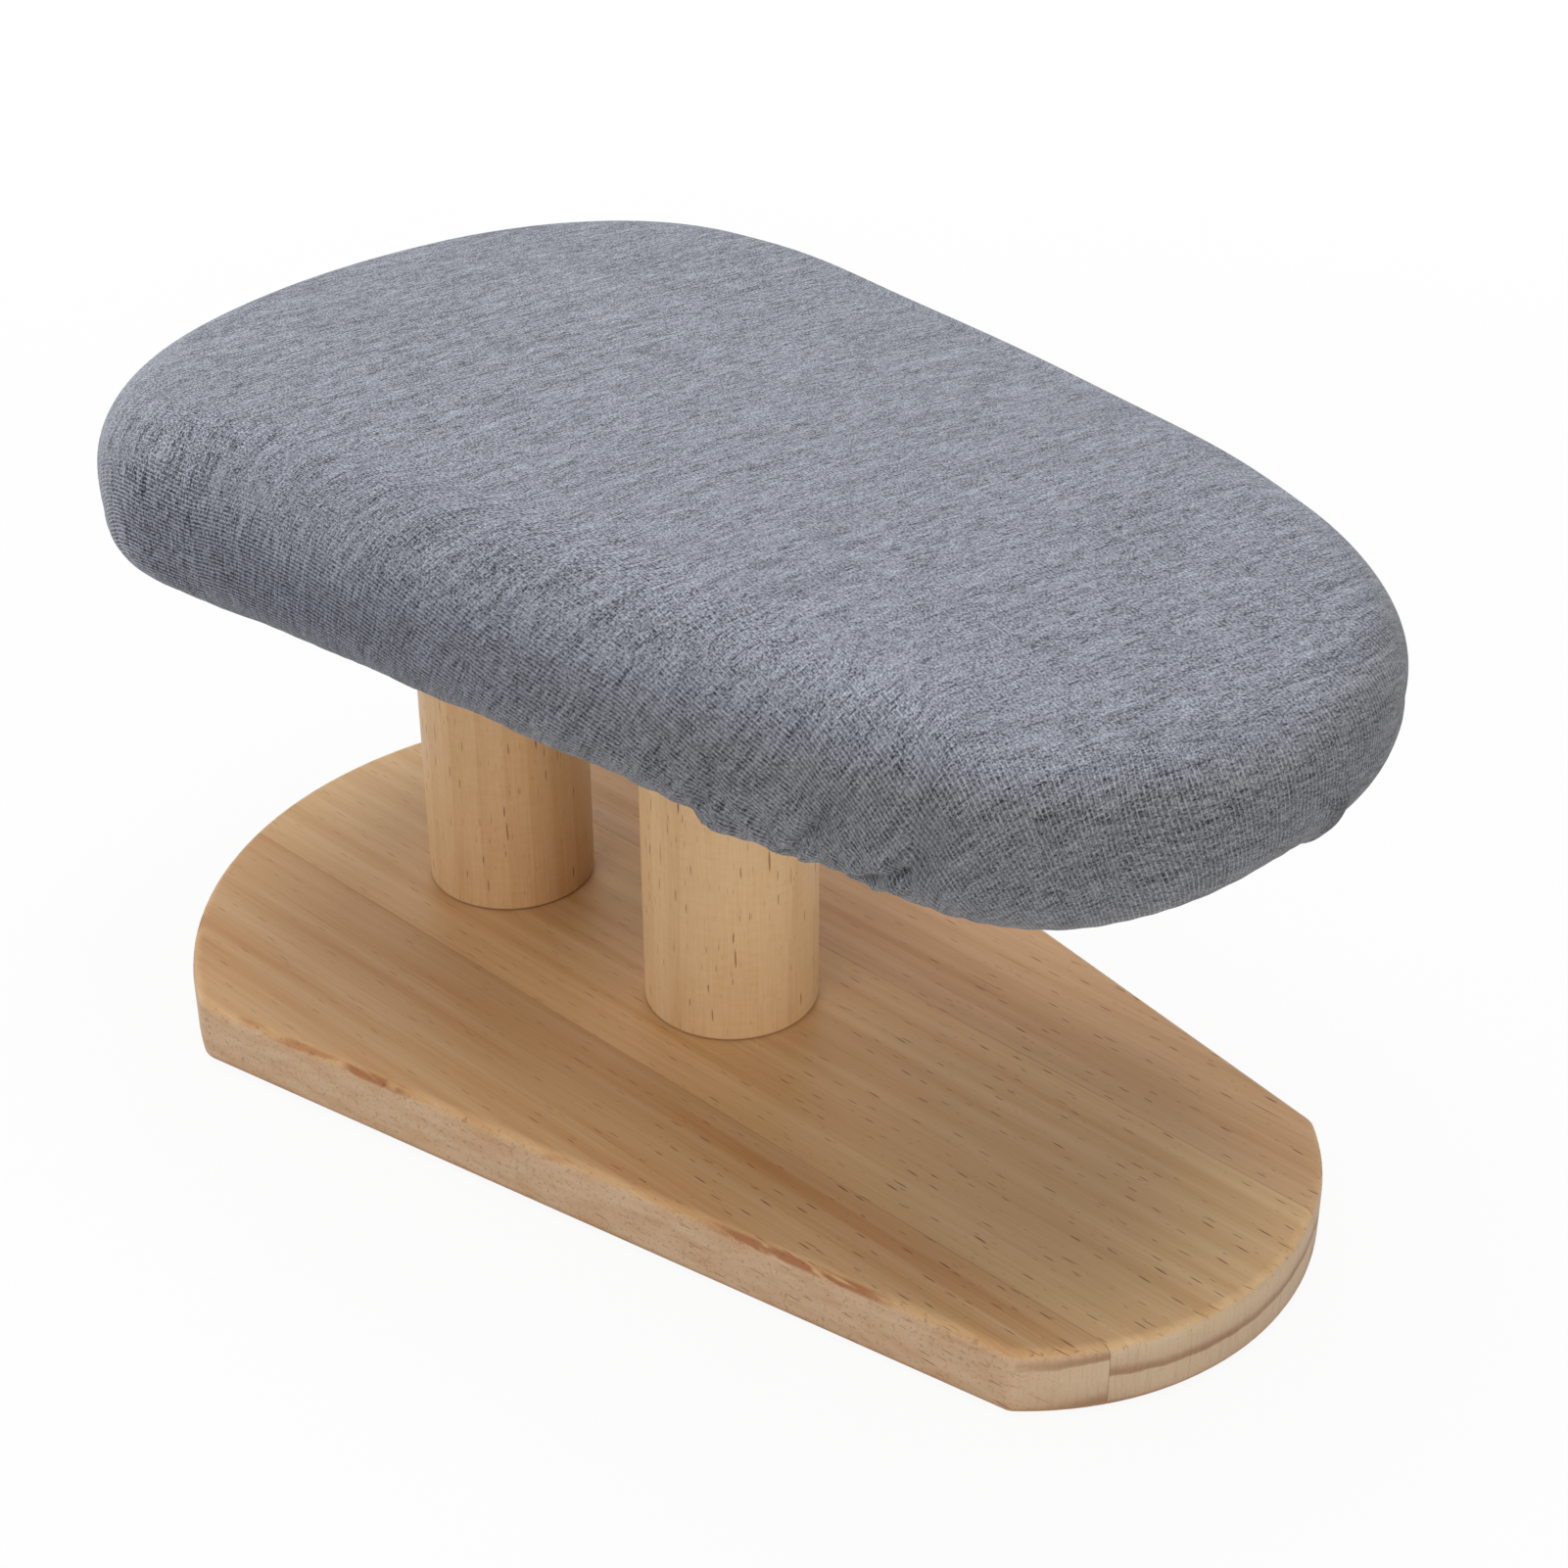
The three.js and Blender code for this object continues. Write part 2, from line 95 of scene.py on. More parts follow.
# %% A wrapped socket
class Wire:
    def __init__(self, tree, socket=None):
        self.tree = tree
        self.socket = socket

    def node(self, kind, settings, sockets, output=0):
        made = self.tree.nodes.new("ShaderNode" + kind)
        for key, value in settings.items():
            setattr(made, key, value)
        self.join(made, sockets)
        return Wire(self.tree, made.outputs[output])

    def join(self, node, sockets):
        """Links wires to a node's sockets, or sets them to plain values."""
        for key, value in sockets.items():
            if isinstance(value, Wire):
                self.tree.links.new(value.socket, node.inputs[key])
            else:
                node.inputs[key].default_value = value

    def maths(self, operation, *values):
        return self.node("Math", {"operation": operation}, dict(enumerate(values)))

    __add__ = __radd__ = lambda self, other: self.maths("ADD", self, other)
    __mul__ = __rmul__ = lambda self, other: self.maths("MULTIPLY", self, other)
    __sub__ = lambda self, other: self.maths("SUBTRACT", self, other)
    __rsub__ = lambda self, other: self.maths("SUBTRACT", other, self)
    __truediv__ = lambda self, other: self.maths("DIVIDE", self, other)

    def step(self, low, high):
        """0 below low, 1 above high and smooth between them."""
        settings = {"interpolation_type": "SMOOTHSTEP"}
        return self.node("MapRange", settings, {"Value": self, "From Min": low, "From Max": high})

    def clamped(self):
        """This value, held between 0 and 1."""
        return self.node("MapRange", {"clamp": True}, {"Value": self})

    def largest(self, found, *others):
        """The largest of several values."""
        for value in others:
            found = self.maths("MAXIMUM", found, value)
        return found

    def parts(self):
        """A vector's x, y and z."""
        return [self.node("SeparateXYZ", {}, {0: self}, axis) for axis in range(3)]

    def vector(self, x, y, z):
        return self.node("CombineXYZ", {}, {0: x, 1: y, 2: z})

    def place(self):
        """The shaded point's x, y and z in its object, in millimetres."""
        return [part / MM for part in self.node("TexCoord", {}, {}, "Object").parts()]

    def facing(self):
        """The shaded point's normal, as x, y and z."""
        return self.node("NewGeometry", {}, {}, "Normal").parts()

    def noise(self, x, y, z, detail=2.0, rough=0.5):
        """Noise at a place whose coordinates already carry the scale."""
        sockets = {"Vector": self.vector(x, y, z), "Scale": 1.0, "Detail": detail, "Roughness": rough}
        return self.node("TexNoise", {}, sockets)

    def bump(self, strength, depth, height):
        """A bumped normal, with its depth in millimetres."""
        return self.node("Bump", {}, {"Strength": strength, "Distance": depth * MM, "Height": height})

    def mixed(self, first, second):
        """A colour between first and second, by this value."""
        return self.node("Mix", {"data_type": "RGBA"}, {0: self, 6: first, 7: second}, 2)


def rgb(*channels):
    """A colour of a picture, 0 to 255 a channel, as the linear colour that a shader takes."""
    shares = [value / 255 for value in channels]
    return (*[s / 12.92 if s <= 0.04045 else ((s + 0.055) / 1.055) ** 2.4 for s in shares], 1.0)


def new_material(name, **constants):
    """A material, a wire to build on, and its shader with some constants set."""
    material = bpy.data.materials.new(name)
    material.use_nodes = True
    wire, shader = Wire(material.node_tree), material.node_tree.nodes["Principled BSDF"]
    wire.join(shader, {key.replace("_", " "): value for key, value in constants.items()})
    return material, wire, shader


print("shader helpers ready")

# %% [markdown]
# ## Floor, light and background
# The light is plain and soft: one wide lamp above makes the top of the pad lighter than its sides, two weaker ones
# soften it, and three low ones reach under the pad. The floor shows white to the camera, keeps a share of the
# object's shadow and fades into the white background further out.

# %% Stage
WORLD_LIGHT, LAMP_TARGET = 0.05, Vector((0, 0, 0.08))
FLOOR_SIZE, FLOOR_LEVEL, FLOOR_GREY, FLOOR_WHITE, FLOOR_FADE = 12.0, -0.2 * MM, 0.86, 0.93, (0.22, 0.7)

scene.view_settings.view_transform = "Standard"

world = bpy.data.worlds.new("studio")
world.use_nodes = True
scene.world = world
surround = Wire(world.node_tree)
kinds = ("Camera", "Glossy", "Transmission")
rays = [surround.node("LightPath", {}, {}, f"Is {kind} Ray") for kind in kinds]
strength = WORLD_LIGHT + (1.0 - WORLD_LIGHT) * surround.largest(*rays)
surround.join(world.node_tree.nodes["Background"], {"Color": (1.0, 1.0, 1.0, 1.0), "Strength": strength})

ops.mesh.primitive_plane_add(size=FLOOR_SIZE, location=(0, 0, FLOOR_LEVEL))
floor = bpy.context.object
floor.name = "floor"
grey = (FLOOR_GREY, FLOOR_GREY, FLOOR_GREY, 1.0)
floor_paint, wire, shader = new_material("floor_paint", Roughness=0.9, Base_Color=grey)
seen = wire.node("LightPath", {}, {}, "Is Camera Ray")
lit = wire.node("Emission", {}, {"Color": (1, 1, 1, 1), "Strength": 1.0})
place = wire.node("TexCoord", {}, {}, "Object")
away = wire.node("VectorMath", {"operation": "LENGTH"}, {0: place}, "Value")
white = seen * (FLOOR_WHITE + (1.0 - FLOOR_WHITE) * away.step(*FLOOR_FADE))
mix = wire.node("MixShader", {}, {0: white, 1: Wire(wire.tree, shader.outputs[0]), 2: lit})
wire.join(wire.tree.nodes["Material Output"], {"Surface": mix})
floor.data.materials.append(floor_paint)


def lamp(name, place, size, power):
    """A square soft lamp that faces the middle of the object."""
    data = bpy.data.lights.new(name, "AREA")
    data.size, data.energy = size, power
    aimed(name, data, place, LAMP_TARGET - Vector(place))


lamp("lamp_above", (-0.1, 0.15, 1.5), 1.3, 17.7)
lamp("lamp_above_front", (0.0, -0.7, 1.3), 1.0, 2.5)
lamp("lamp_tail", (-1.0, 0.9, 0.8), 0.9, 2.4)
lamp("lamp_low_nose", (1.4, -0.09, 0.35), 0.8, 6.4)
lamp("lamp_low_front", (0.3, -1.4, 0.35), 0.8, 5.1)
lamp("lamp_low_left", (-1.35, -0.5, 0.4), 0.8, 4.6)
print("stage: floor, world and", len(bpy.data.lights), "lamps")

# %% [markdown]
# ## Helpers for modelling
# Every operator works on what is selected, so each piece starts with nothing selected. These helpers open one
# object for editing, clean or bevel it, run a simulation, and hand a finished piece to its body.

# %% Modelling helpers
SHARP_ANGLE, TINY = math.radians(35), 1e-9


def only(obj):
    """Selects one object and makes it the active one."""
    ops.object.select_all(action="DESELECT")
    obj.select_set(True)
    bpy.context.view_layer.objects.active = obj


def opened(obj, kind):
    """Opens an object for editing with nothing selected; kind is VERT, EDGE or FACE."""
    only(obj)
    ops.object.mode_set(mode="EDIT")
    ops.mesh.select_mode(type=kind)
    ops.mesh.select_all(action="DESELECT")


def closed():
    ops.object.mode_set(mode="OBJECT")


def cleaned(merge=0.0):
    """In edit mode, merges vertices this close, turns all faces outward and closes the object."""
    ops.mesh.select_all(action="SELECT")
    if merge:
        ops.mesh.remove_doubles(threshold=merge * MM)
    ops.mesh.normals_make_consistent(inside=False)
    closed()


def bevelled(obj, test, width, steps, clamp):
    """Rounds the edges whose two ends pass the test."""
    opened(obj, "EDGE")
    for edge in bmesh.from_edit_mesh(obj.data).edges:
        edge.select_set(test(edge.verts[0].co / MM, edge.verts[1].co / MM))
    bmesh.update_edit_mesh(obj.data)
    ops.mesh.bevel(offset=width * MM, segments=steps, affect="EDGES", clamp_overlap=clamp)
    closed()


def start_point(name, x, y, z):
    """A new object of one vertex, in edit mode, to draw a line from."""
    ops.object.select_all(action="DESELECT")
    ops.mesh.primitive_plane_add(size=MM, location=(x * MM, y * MM, z * MM))
    obj = bpy.context.object
    obj.name = name
    obj.data.name = name
    ops.object.transform_apply(location=True, rotation=True, scale=True)
    ops.object.mode_set(mode="EDIT")
    ops.mesh.select_mode(type="VERT")
    ops.mesh.select_all(action="SELECT")
    ops.mesh.merge(type="CENTER")
    return obj


def draw_on(dx, dy, dz):
    """Extrudes what is selected by a step in millimetres."""
    ops.mesh.extrude_region_move(TRANSFORM_OT_translate={"value": (dx * MM, dy * MM, dz * MM)})


def applied(obj, kind, **settings):
    """Adds a modifier, sets it and applies it."""
    only(obj)
    modifier = obj.modifiers.new(kind.lower(), kind)
    for key, value in settings.items():
        setattr(modifier, key, value)
    ops.object.modifier_apply(modifier=modifier.name)


def smooth(obj):
    """Smooth shading up to an angle, with large flat faces kept flat."""
    only(obj)
    ops.object.shade_smooth_by_angle(angle=SHARP_ANGLE)
    applied(obj, "WEIGHTED_NORMAL", weight=80, keep_sharp=True)


def places(obj):
    """The places of an object's vertices, one row each."""
    found = np.empty(len(obj.data.vertices) * 3)
    obj.data.vertices.foreach_get("co", found)
    return found.reshape(-1, 3)


def simulated(obj, frames, **settings):
    """Runs a cloth simulation without gravity for some frames and applies its last shape."""
    cloth = obj.modifiers.new("cloth", "CLOTH")
    cloth.settings.effector_weights.gravity = 0.0
    for key, value in settings.items():
        setattr(cloth.settings, key, value)
    for number in range(1, frames + 1):
        scene.frame_set(number)
    only(obj)
    ops.object.modifier_apply(modifier=cloth.name)
    scene.frame_set(1)


def finished(obj, node, material):
    """A finished piece stands for a CAD node, rides on the body and wears its finish."""
    obj.data.materials.clear()
    obj.data.materials.append(material)
    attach(obj, "root")
    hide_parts(node)
    print(f"{obj.name}: {len(obj.data.vertices)} vertices, {len(obj.data.polygons)} faces")


print("modelling helpers ready")

# %% [markdown]
# ## Base panel
# The base is a pine panel with an arc at each end, straight sides that narrow towards the nose, and rounded
# edges. A vertex that is spun about a centre draws an exact arc, so one is spun at the nose, drawn along one side,
# spun at the tail, and the loop is filled.

# %% Base outline
BASE_TAPER, BASE_THICKNESS, NOSE_RADIUS, TAIL_RADIUS = 0.185, 17.0, 67.5, 100.0
BASE_FORM = 289.0, 147.0, BASE_TAPER  # its length, width and taper
CORNER_ROUND, TOP_ROUND, FOOT_ROUND = 4.0, 2.6, 3.4
NOSE_STEPS, TAIL_STEPS, CORNER_STEPS, ROUND_STEPS, NEAR = 36, 48, 5, 6, 0.01


def side_meets_arc(end, radius, length, width, taper, inset=0.0):
    """Where the side meets the arc at one end, both drawn in by an inset: +1 is the nose, -1 the tail."""
    centre = end * (length / 2 - radius)
    half = width / 2 - inset * math.hypot(1, taper)
    a = 1 + taper ** 2
    b = centre + half * taper
    c = centre ** 2 + half ** 2 - (radius - inset) ** 2
    x = (b + end * math.sqrt(max(b * b - a * c, 0.0))) / a
    return x, half - taper * x, centre


nose_x, nose_y, nose_centre = side_meets_arc(1, NOSE_RADIUS, *BASE_FORM)
tail_x, tail_y, tail_centre = side_meets_arc(-1, TAIL_RADIUS, *BASE_FORM)
nose_turn = 2 * math.atan2(nose_y, nose_x - nose_centre)
tail_turn = 2 * (math.pi - math.atan2(tail_y, tail_x - tail_centre))

panel = start_point("panel", nose_x, -nose_y, 0)
ops.mesh.spin(steps=NOSE_STEPS, angle=-nose_turn, center=(nose_centre * MM, 0, 0), axis=(0, 0, 1))
draw_on(tail_x - nose_x, tail_y - nose_y, 0)
ops.mesh.spin(steps=TAIL_STEPS, angle=-tail_turn, center=(tail_centre * MM, 0, 0), axis=(0, 0, 1))
ops.mesh.select_all(action="SELECT")
ops.mesh.edge_face_add()
draw_on(0, 0, BASE_THICKNESS)
cleaned()
print("panel size in mm:", [round(v / MM, 1) for v in panel.dimensions])

# %% [markdown]
# The upright corners and then the rims are bevelled. A bevel's width is measured along the faces, so a corner's
# radius is turned into that width by the angle that the outline turns there.

# %% Base edges
side_angle = math.atan2(1, BASE_TAPER)
for end_x, turn in (
    (nose_x, side_angle - nose_turn / 2),
    (tail_x, math.pi - tail_turn / 2 - side_angle),
):
    upright = lambda a, b: (a.xy - b.xy).length < NEAR and abs(a.x - end_x) < 10 * NEAR
    bevelled(panel, upright, CORNER_ROUND * math.tan(turn / 2), CORNER_STEPS, True)

for level, rounding in ((BASE_THICKNESS, TOP_ROUND), (0.0, FOOT_ROUND)):
    rim = lambda a, b: abs(a.z - level) < NEAR and abs(b.z - level) < NEAR
    bevelled(panel, rim, rounding, ROUND_STEPS, False)
print("panel after bevels:", len(panel.data.vertices), "vertices")

# %% [markdown]
# ## Turned forms
# Posts and screw holes are round about an upright axis. A lathe works from a profile, and so does the spin
# operator: the profile is drawn as a line of vertices, spun once round, and its doubled vertices are merged.

# %% A lathe
def turned(name, profile, x, y, steps):
    """Spins a profile of (radius, height) in millimetres about an upright axis."""
    obj = start_point(name, x + profile[0][0], y, profile[0][1])
    for (radius, height), (next_radius, next_height) in zip(profile, profile[1:]):
        draw_on(next_radius - radius, 0, next_height - height)
    ops.mesh.select_all(action="SELECT")
    ops.mesh.spin(steps=steps, angle=2 * math.pi, center=(x * MM, y * MM, 0), axis=(0, 0, 1))
    cleaned(0.005)
    return obj


POST_X, POST_Y, POST_RADIUS, POST_LENGTH = (-79.0, -3.5), -2.0, 20.0, 100.0
SCREW_HEAD, SCREW_SHANK, SCREW_LENGTH, SCREW_FIT = 4.5, 2.25, 50.0, 0.3
HEAD_DEPTH, HOLE_DEPTH, HOLE_STEPS = 0.9, 20.0, 32
head_hole, shank_hole = SCREW_HEAD + SCREW_FIT, SCREW_SHANK + SCREW_FIT
print("lathe ready, screw holes", 2 * head_hole, "and", 2 * shank_hole, "mm")

# %% [markdown]
# ## Three glued staves
# The panel is glued from three staves. Each one is a copy of the panel, bisected at the glue lines with the cut
# filled. The middle one gets the two countersunk screw holes, which a Boolean takes out of its underside.

# %% Staves
SEAMS = (-36.0, 25.0)
HALF_GLUE = 0.05


def stave(name, low, high):
    """A copy of the panel between two glue lines; None leaves that side whole."""
    obj = linked(name, panel.data.copy())
    for seam, outer in ((low, False), (high, True)):
        if seam is not None:
            opened(obj, "FACE")
            ops.mesh.select_all(action="SELECT")
            plane = {"plane_co": (0, seam * MM, 0), "plane_no": (0, 1, 0)}
            ops.mesh.bisect(**plane, use_fill=True, clear_outer=outer, clear_inner=not outer)
            closed()
    return obj


front_stave = stave("pine_stave_front", None, SEAMS[0] - HALF_GLUE)
middle_stave = stave("pine_stave_middle", SEAMS[0] + HALF_GLUE, SEAMS[1] - HALF_GLUE)
rear_stave = stave("pine_stave_rear", SEAMS[1] + HALF_GLUE, None)
bpy.data.objects.remove(panel)

for x in POST_X:
    cone = head_hole - shank_hole
    head = [(0, -1), (head_hole, -1), (head_hole, HEAD_DEPTH), (shank_hole, HEAD_DEPTH + cone)]
    cutter = turned("screw_hole", [*head, (shank_hole, HOLE_DEPTH), (0, HOLE_DEPTH)], x, POST_Y, HOLE_STEPS)
    applied(middle_stave, "BOOLEAN", object=cutter, operation="DIFFERENCE", solver="EXACT")
    bpy.data.objects.remove(cutter)
for obj in (front_stave, middle_stave, rear_stave):
    smooth(obj)
print("staves:", [round(v / MM, 1) for v in front_stave.dimensions], "and two more")

# %% [markdown]
# ## Pine
# Pine grows in rings, and a board is a flat cut through them. So the finish measures each point's distance from
# the heart of its tree and darkens the end of each year's ring: the same rings are soft streaks on the top and
# curved bands on the end. Short resin flecks lie along the grain, and the rounded edge has brown patches where it
# was planed across the grain. A painted highlight runs along the rounded top edge and painted shade along the
# lower one, and painted light lifts two staves round the posts, where the pad shades them. Each stave has its own
# heart and tone.

# %% Pine finish
def flecks(wire, along, across, cell_length, cell_width, length, width, share):
    """Short dashes along the grain: one in each cell of a loose grid, or none."""
    place = wire.vector(along / cell_length, across / cell_width, 0.0)
    cells = {"voronoi_dimensions": "2D"}, {"Vector": place, "Scale": 1.0}
    middle, chance = [wire.node("TexVoronoi", *cells, output) for output in ("Position", "Color")]
    chance = chance.parts()
    apart = wire.node("VectorMath", {"operation": "SUBTRACT"}, {0: place, 1: middle}).parts()
    size = 0.45 + 0.55 * chance[0]
    dx = apart[0] * cell_length / (length * size)
    dy = (apart[1] * cell_width + apart[0] * (chance[1] - 0.5) * 0.1 * cell_length) / (width * size)
    dash = (dx * dx + dy * dy).step(1.0, 0.25)
    return dash * chance[2].step(share + 0.02, share - 0.02) * (0.55 + 0.45 * chance[1])


def pine(name, heart, ring, pale, warm, lines, painted_light_round_posts=0.0, scars=()):
    """Pine with its tree's heart at (y, z), rings that wide and the grain along x.

    It gets painted light by that share round the posts, where the pad shades the top.
    Each scar is a brown patch on the rounded edge: its middle and reach.
    """
    material, wire, shader = new_material(name, Roughness=0.5, Specular_IOR_Level=0.3)
    x, y, z = wire.place()
    grain = lambda dx, dy, dz, *more: wire.noise(x / dx, y / dy, z / dz, *more)
    facing = wire.facing()
    end = (facing[0] * facing[0]).step(0.3, 0.7)
    upright = (facing[2] * facing[2]).step(0.5, 0.1)

    bend = grain(190, 60, 60) - 0.5
    ripple = grain(60, 7, 7, 3.0) - 0.5
    away_y = y - heart[0] + bend * 7.0
    away_z = z - heart[1]
    radius = wire.maths("SQRT", away_y * away_y + away_z * away_z) + ripple * 2.2
    year = wire.maths("FRACT", radius / ring)
    late = year.step(0.25, 0.85) * year.step(1.0, 0.9)
    edge_line = year.step(0.62, 0.9) * year.step(1.0, 0.95)

    fibre = grain(30, 0.3, 0.3, 3.0, 0.6) - 0.5
    streak = grain(170, 3.6, 3.6, 3.0, 0.6) - 0.5
    cloud = grain(110, 13, 13) - 0.5
    tone = late * 0.12 + cloud * 0.6 + streak * 1.35 + fibre * 0.7 + 0.3
    body = tone.clamped().mixed(pale, warm)
    sawn = grain(12, 12, 3, 3.0, 0.6).step(0.3, 0.7)
    body = (upright * 0.65).mixed(body, sawn.mixed(*PINE_SIDE))
    end_tone = late * 0.25 + edge_line * 0.5 + fibre * 0.3 + cloud * 0.3
    body = end.mixed(body, end_tone.clamped().mixed(*PINE_END))
    # Painted light: the stave is lifted round the posts, where the pad shades it.
    painted_light_scale = {0: body, "Scale": 1.0 + x.step(90.0, 20.0) * x.step(-120.0, -60.0) * painted_light_round_posts}
    body = wire.node("VectorMath", {"operation": "SCALE"}, painted_light_scale, "Vector")

    dashes = flecks(wire, x, y + z * 1.3, 8.0, 3.6, 2.3, 0.2, 0.6)
    small = flecks(wire, x + 31.0, y + z * 1.3 + 17.0, 4.6, 2.4, 0.9, 0.12, 0.45) * 0.6
    long_lines = grain(26, 0.55, 0.55, 1.0).step(0.70, 0.80) * lines
    marks = wire.largest(dashes, small, long_lines) * (1.0 - end) * (0.45 + x.step(-30.0, 70.0) * 0.55)
    rays = grain(3, 0.45, 12, 3.0, 0.7).step(0.45, 0.75)
    pores = grain(0.6, 0.6, 0.6).step(0.62, 0.72)
    marks = wire.largest(marks, end * (rays * 0.2 + pores * 0.22))
    body = marks.mixed(body, PINE_DARK)
    grit = grain(0.9, 0.9, 0.9, 3.0, 0.7)
    body = (upright * (1.0 - end) * grit.step(0.52, 0.72) * 0.6).mixed(body, rgb(150, 106, 72))

    round_up = facing[2].step(0.15, 0.5) * facing[2].step(0.98, 0.8)
    lower_edge_shade = facing[2].step(-0.1, -0.5)
    rough = grain(1.5, 1.5, 1.5, 3.0, 0.7)
    sliver = grain(24, 24, 9, 1.0).step(0.60, 0.66)
    # Painted highlight along the rounded top edge.
    body = (round_up * 0.15).mixed(body, rgb(216, 172, 116))
    body = (round_up * sliver * 0.6).mixed(body, rgb(172, 104, 54))
    torn = grain(14, 1.6, 1.6).step(0.34, 0.5)
    for middle, reach in scars:
        scar = wire.maths("ABSOLUTE", x - middle).step(reach, reach * 0.55) * torn
        body = (round_up * scar * 0.75).mixed(body, rgb(150, 82, 42))
    body = (round_up * rough.step(0.58, 0.7) * 0.4).mixed(body, PINE_DARK)
    # Painted shade along the rounded lower edge, which faces down.
    body = (lower_edge_shade * 0.4).mixed(body, rgb(160, 116, 78))
    normal = wire.bump(0.25, 0.12, fibre - marks * 0.8 + late * 0.2)
    dull = 0.46 + late * 0.08 + marks * 0.2
    wire.join(shader, {"Base Color": body, "Roughness": dull, "Normal": normal})
    return material


PINE_DARK = rgb(106, 57, 27)
PINE_SIDE = rgb(210, 184, 158), rgb(193, 158, 126)
PINE_END = rgb(208, 181, 149), rgb(146, 104, 70)
FRONT_SCARS = (-38.0, 11.0), (72.0, 26.0)
FRONT_TONES = rgb(226, 189, 143), rgb(193, 133, 76)
MIDDLE_TONES = rgb(233, 197, 149), rgb(201, 149, 91)
REAR_TONES = rgb(220, 180, 136), rgb(184, 132, 84)
pine_front = pine("pine_front", (-60.0, 240.0), 12.0, *FRONT_TONES, lines=0.12, scars=FRONT_SCARS)
pine_middle = pine("pine_middle", (-10.0, 260.0), 9.0, *MIDDLE_TONES, lines=0.15, painted_light_round_posts=0.09)
pine_rear = pine("pine_rear", (90.0, 200.0), 8.0, *REAR_TONES, lines=0.7, painted_light_round_posts=0.1)
finished(front_stave, "base_front_stave", pine_front)
finished(middle_stave, "base_middle_stave", pine_middle)
finished(rear_stave, "base_rear_stave", pine_rear)

# %% [markdown]
# ## Posts
# The posts are plain dowels, glued and screwed between the base and the top board. Their profile has the screw
# holes in both ends and a small rounded edge, so the lathe makes the whole piece at once. It runs from the bottom
# of the lower hole, round the outside, to the bottom of the upper one.

# %% Turn the posts
POST_EDGE, POST_STEPS, WALL_ROWS, HOLE_TIP = 0.6, 96, 5, 6.0

foot = BASE_THICKNESS
head = foot + POST_LENGTH
deep = SCREW_LENGTH - BASE_THICKNESS + 1.0
turns = np.linspace(math.pi / 2, 0, 4)
edge = [(POST_EDGE * (1 - math.cos(a)), POST_EDGE * (1 - math.sin(a))) for a in turns]
lower = [(POST_RADIUS - inward, foot + up) for inward, up in edge]
upper = [(radius, foot + head - height) for radius, height in reversed(lower)]
walls = [(POST_RADIUS, height) for height in np.linspace(foot + 8, head - 8, WALL_ROWS)]
profile = [
    (0, foot + deep), (shank_hole, foot + deep - HOLE_TIP), (shank_hole, foot),
    *lower, *walls, *upper,
    (shank_hole, head), (shank_hole, head - deep + HOLE_TIP), (0, head - deep),
]
rear_post = turned("post_rear", profile, POST_X[0], POST_Y, POST_STEPS)
front_post = turned("post_front", profile, POST_X[1], POST_Y, POST_STEPS)
for obj in (rear_post, front_post):
    smooth(obj)
print("posts:", [round(v / MM, 1) for v in front_post.dimensions])

# %% [markdown]
# The dowels are paler and warmer than the base, with upright grain. The heart of their rings stands beside each
# post, and the flecks follow the round surface: the angle about the post's axis, times its radius, is the distance
# round it.

# %% Dowel finish
POST_RING = 5.5
POST_DARK = rgb(120, 66, 30)


def dowel(name, axis_x, heart, pale, warm):
    """A post's wood, with its tree's heart at (x, y) from the post's axis."""
    material, wire, shader = new_material(name, Roughness=0.45, Specular_IOR_Level=0.4)
    x, y, z = wire.place()
    x = x - axis_x
    y = y - POST_Y
    bend = wire.noise(x / 30, y / 30, z / 90) - 0.5
    away_x = x - heart[0] + z * 0.02 + bend * 8.0
    away_y = y - heart[1]
    radius = wire.maths("SQRT", away_x * away_x + away_y * away_y)
    year = wire.maths("FRACT", radius / POST_RING)
    late = year.step(0.3, 0.93) * year.step(1.0, 0.95)
    fibre = wire.noise(x / 0.55, y / 0.55, z / 14, 3.0, 0.65) - 0.5
    cloud = wire.noise(x / 14, y / 14, z / 60) - 0.5
    wavy = wire.noise(x / 4.0, y / 4.0, z / 1.3) - 0.5
    tone = late * 0.2 + cloud * 0.9 + fibre * 0.8 + wavy * 0.4 + 0.28
    body = tone.clamped().mixed(pale, warm)
    around = wire.maths("ARCTAN2", y, -1.0 * x) * POST_RADIUS
    dashes = flecks(wire, z, around, 8.0, 3.6, 2.2, 0.22, 0.4)
    fine = flecks(wire, z + 3.0, around + 40.0, 4.5, 1.8, 1.3, 0.12, 0.4) * 0.6
    cracks = flecks(wire, z + 11.0, around + 90.0, 20.0, 8.0, 4.2, 0.36, 0.4)
    marks = wire.largest(dashes, fine, cracks)
    patch = wire.noise(z / 26, around / 9, 0.0, 1.0).step(0.35, 0.6)
    body = (marks * (0.35 + patch * 0.65)).mixed(body, POST_DARK)
    # Darker in a thin line round the foot of the post, where it meets the base.
    foot_line = z.step(BASE_THICKNESS + 0.9, BASE_THICKNESS + 0.2)
    body = (foot_line * 0.7).mixed(body, POST_DARK)
    normal = wire.bump(0.2, 0.12, fibre - marks)
    dull = 0.42 + late * 0.08 + marks * 0.2
    wire.join(shader, {"Base Color": body, "Roughness": dull, "Normal": normal})
    return material


dowel_rear = dowel("dowel_rear", POST_X[0], (26.0, 12.0), rgb(227, 193, 148), rgb(203, 156, 106))
dowel_front = dowel("dowel_front", POST_X[1], (-24.0, 20.0), rgb(230, 197, 152), rgb(206, 162, 112))
finished(rear_post, "rear_post", dowel_rear)
finished(front_post, "front_post", dowel_front)

# %% [markdown]
# ## Screws and top board
# The four screws and the board in the pad already have their right shapes in the frame, so they only get finishes:
# plated steel with fine turning lines, and plywood with its layers along the edge.

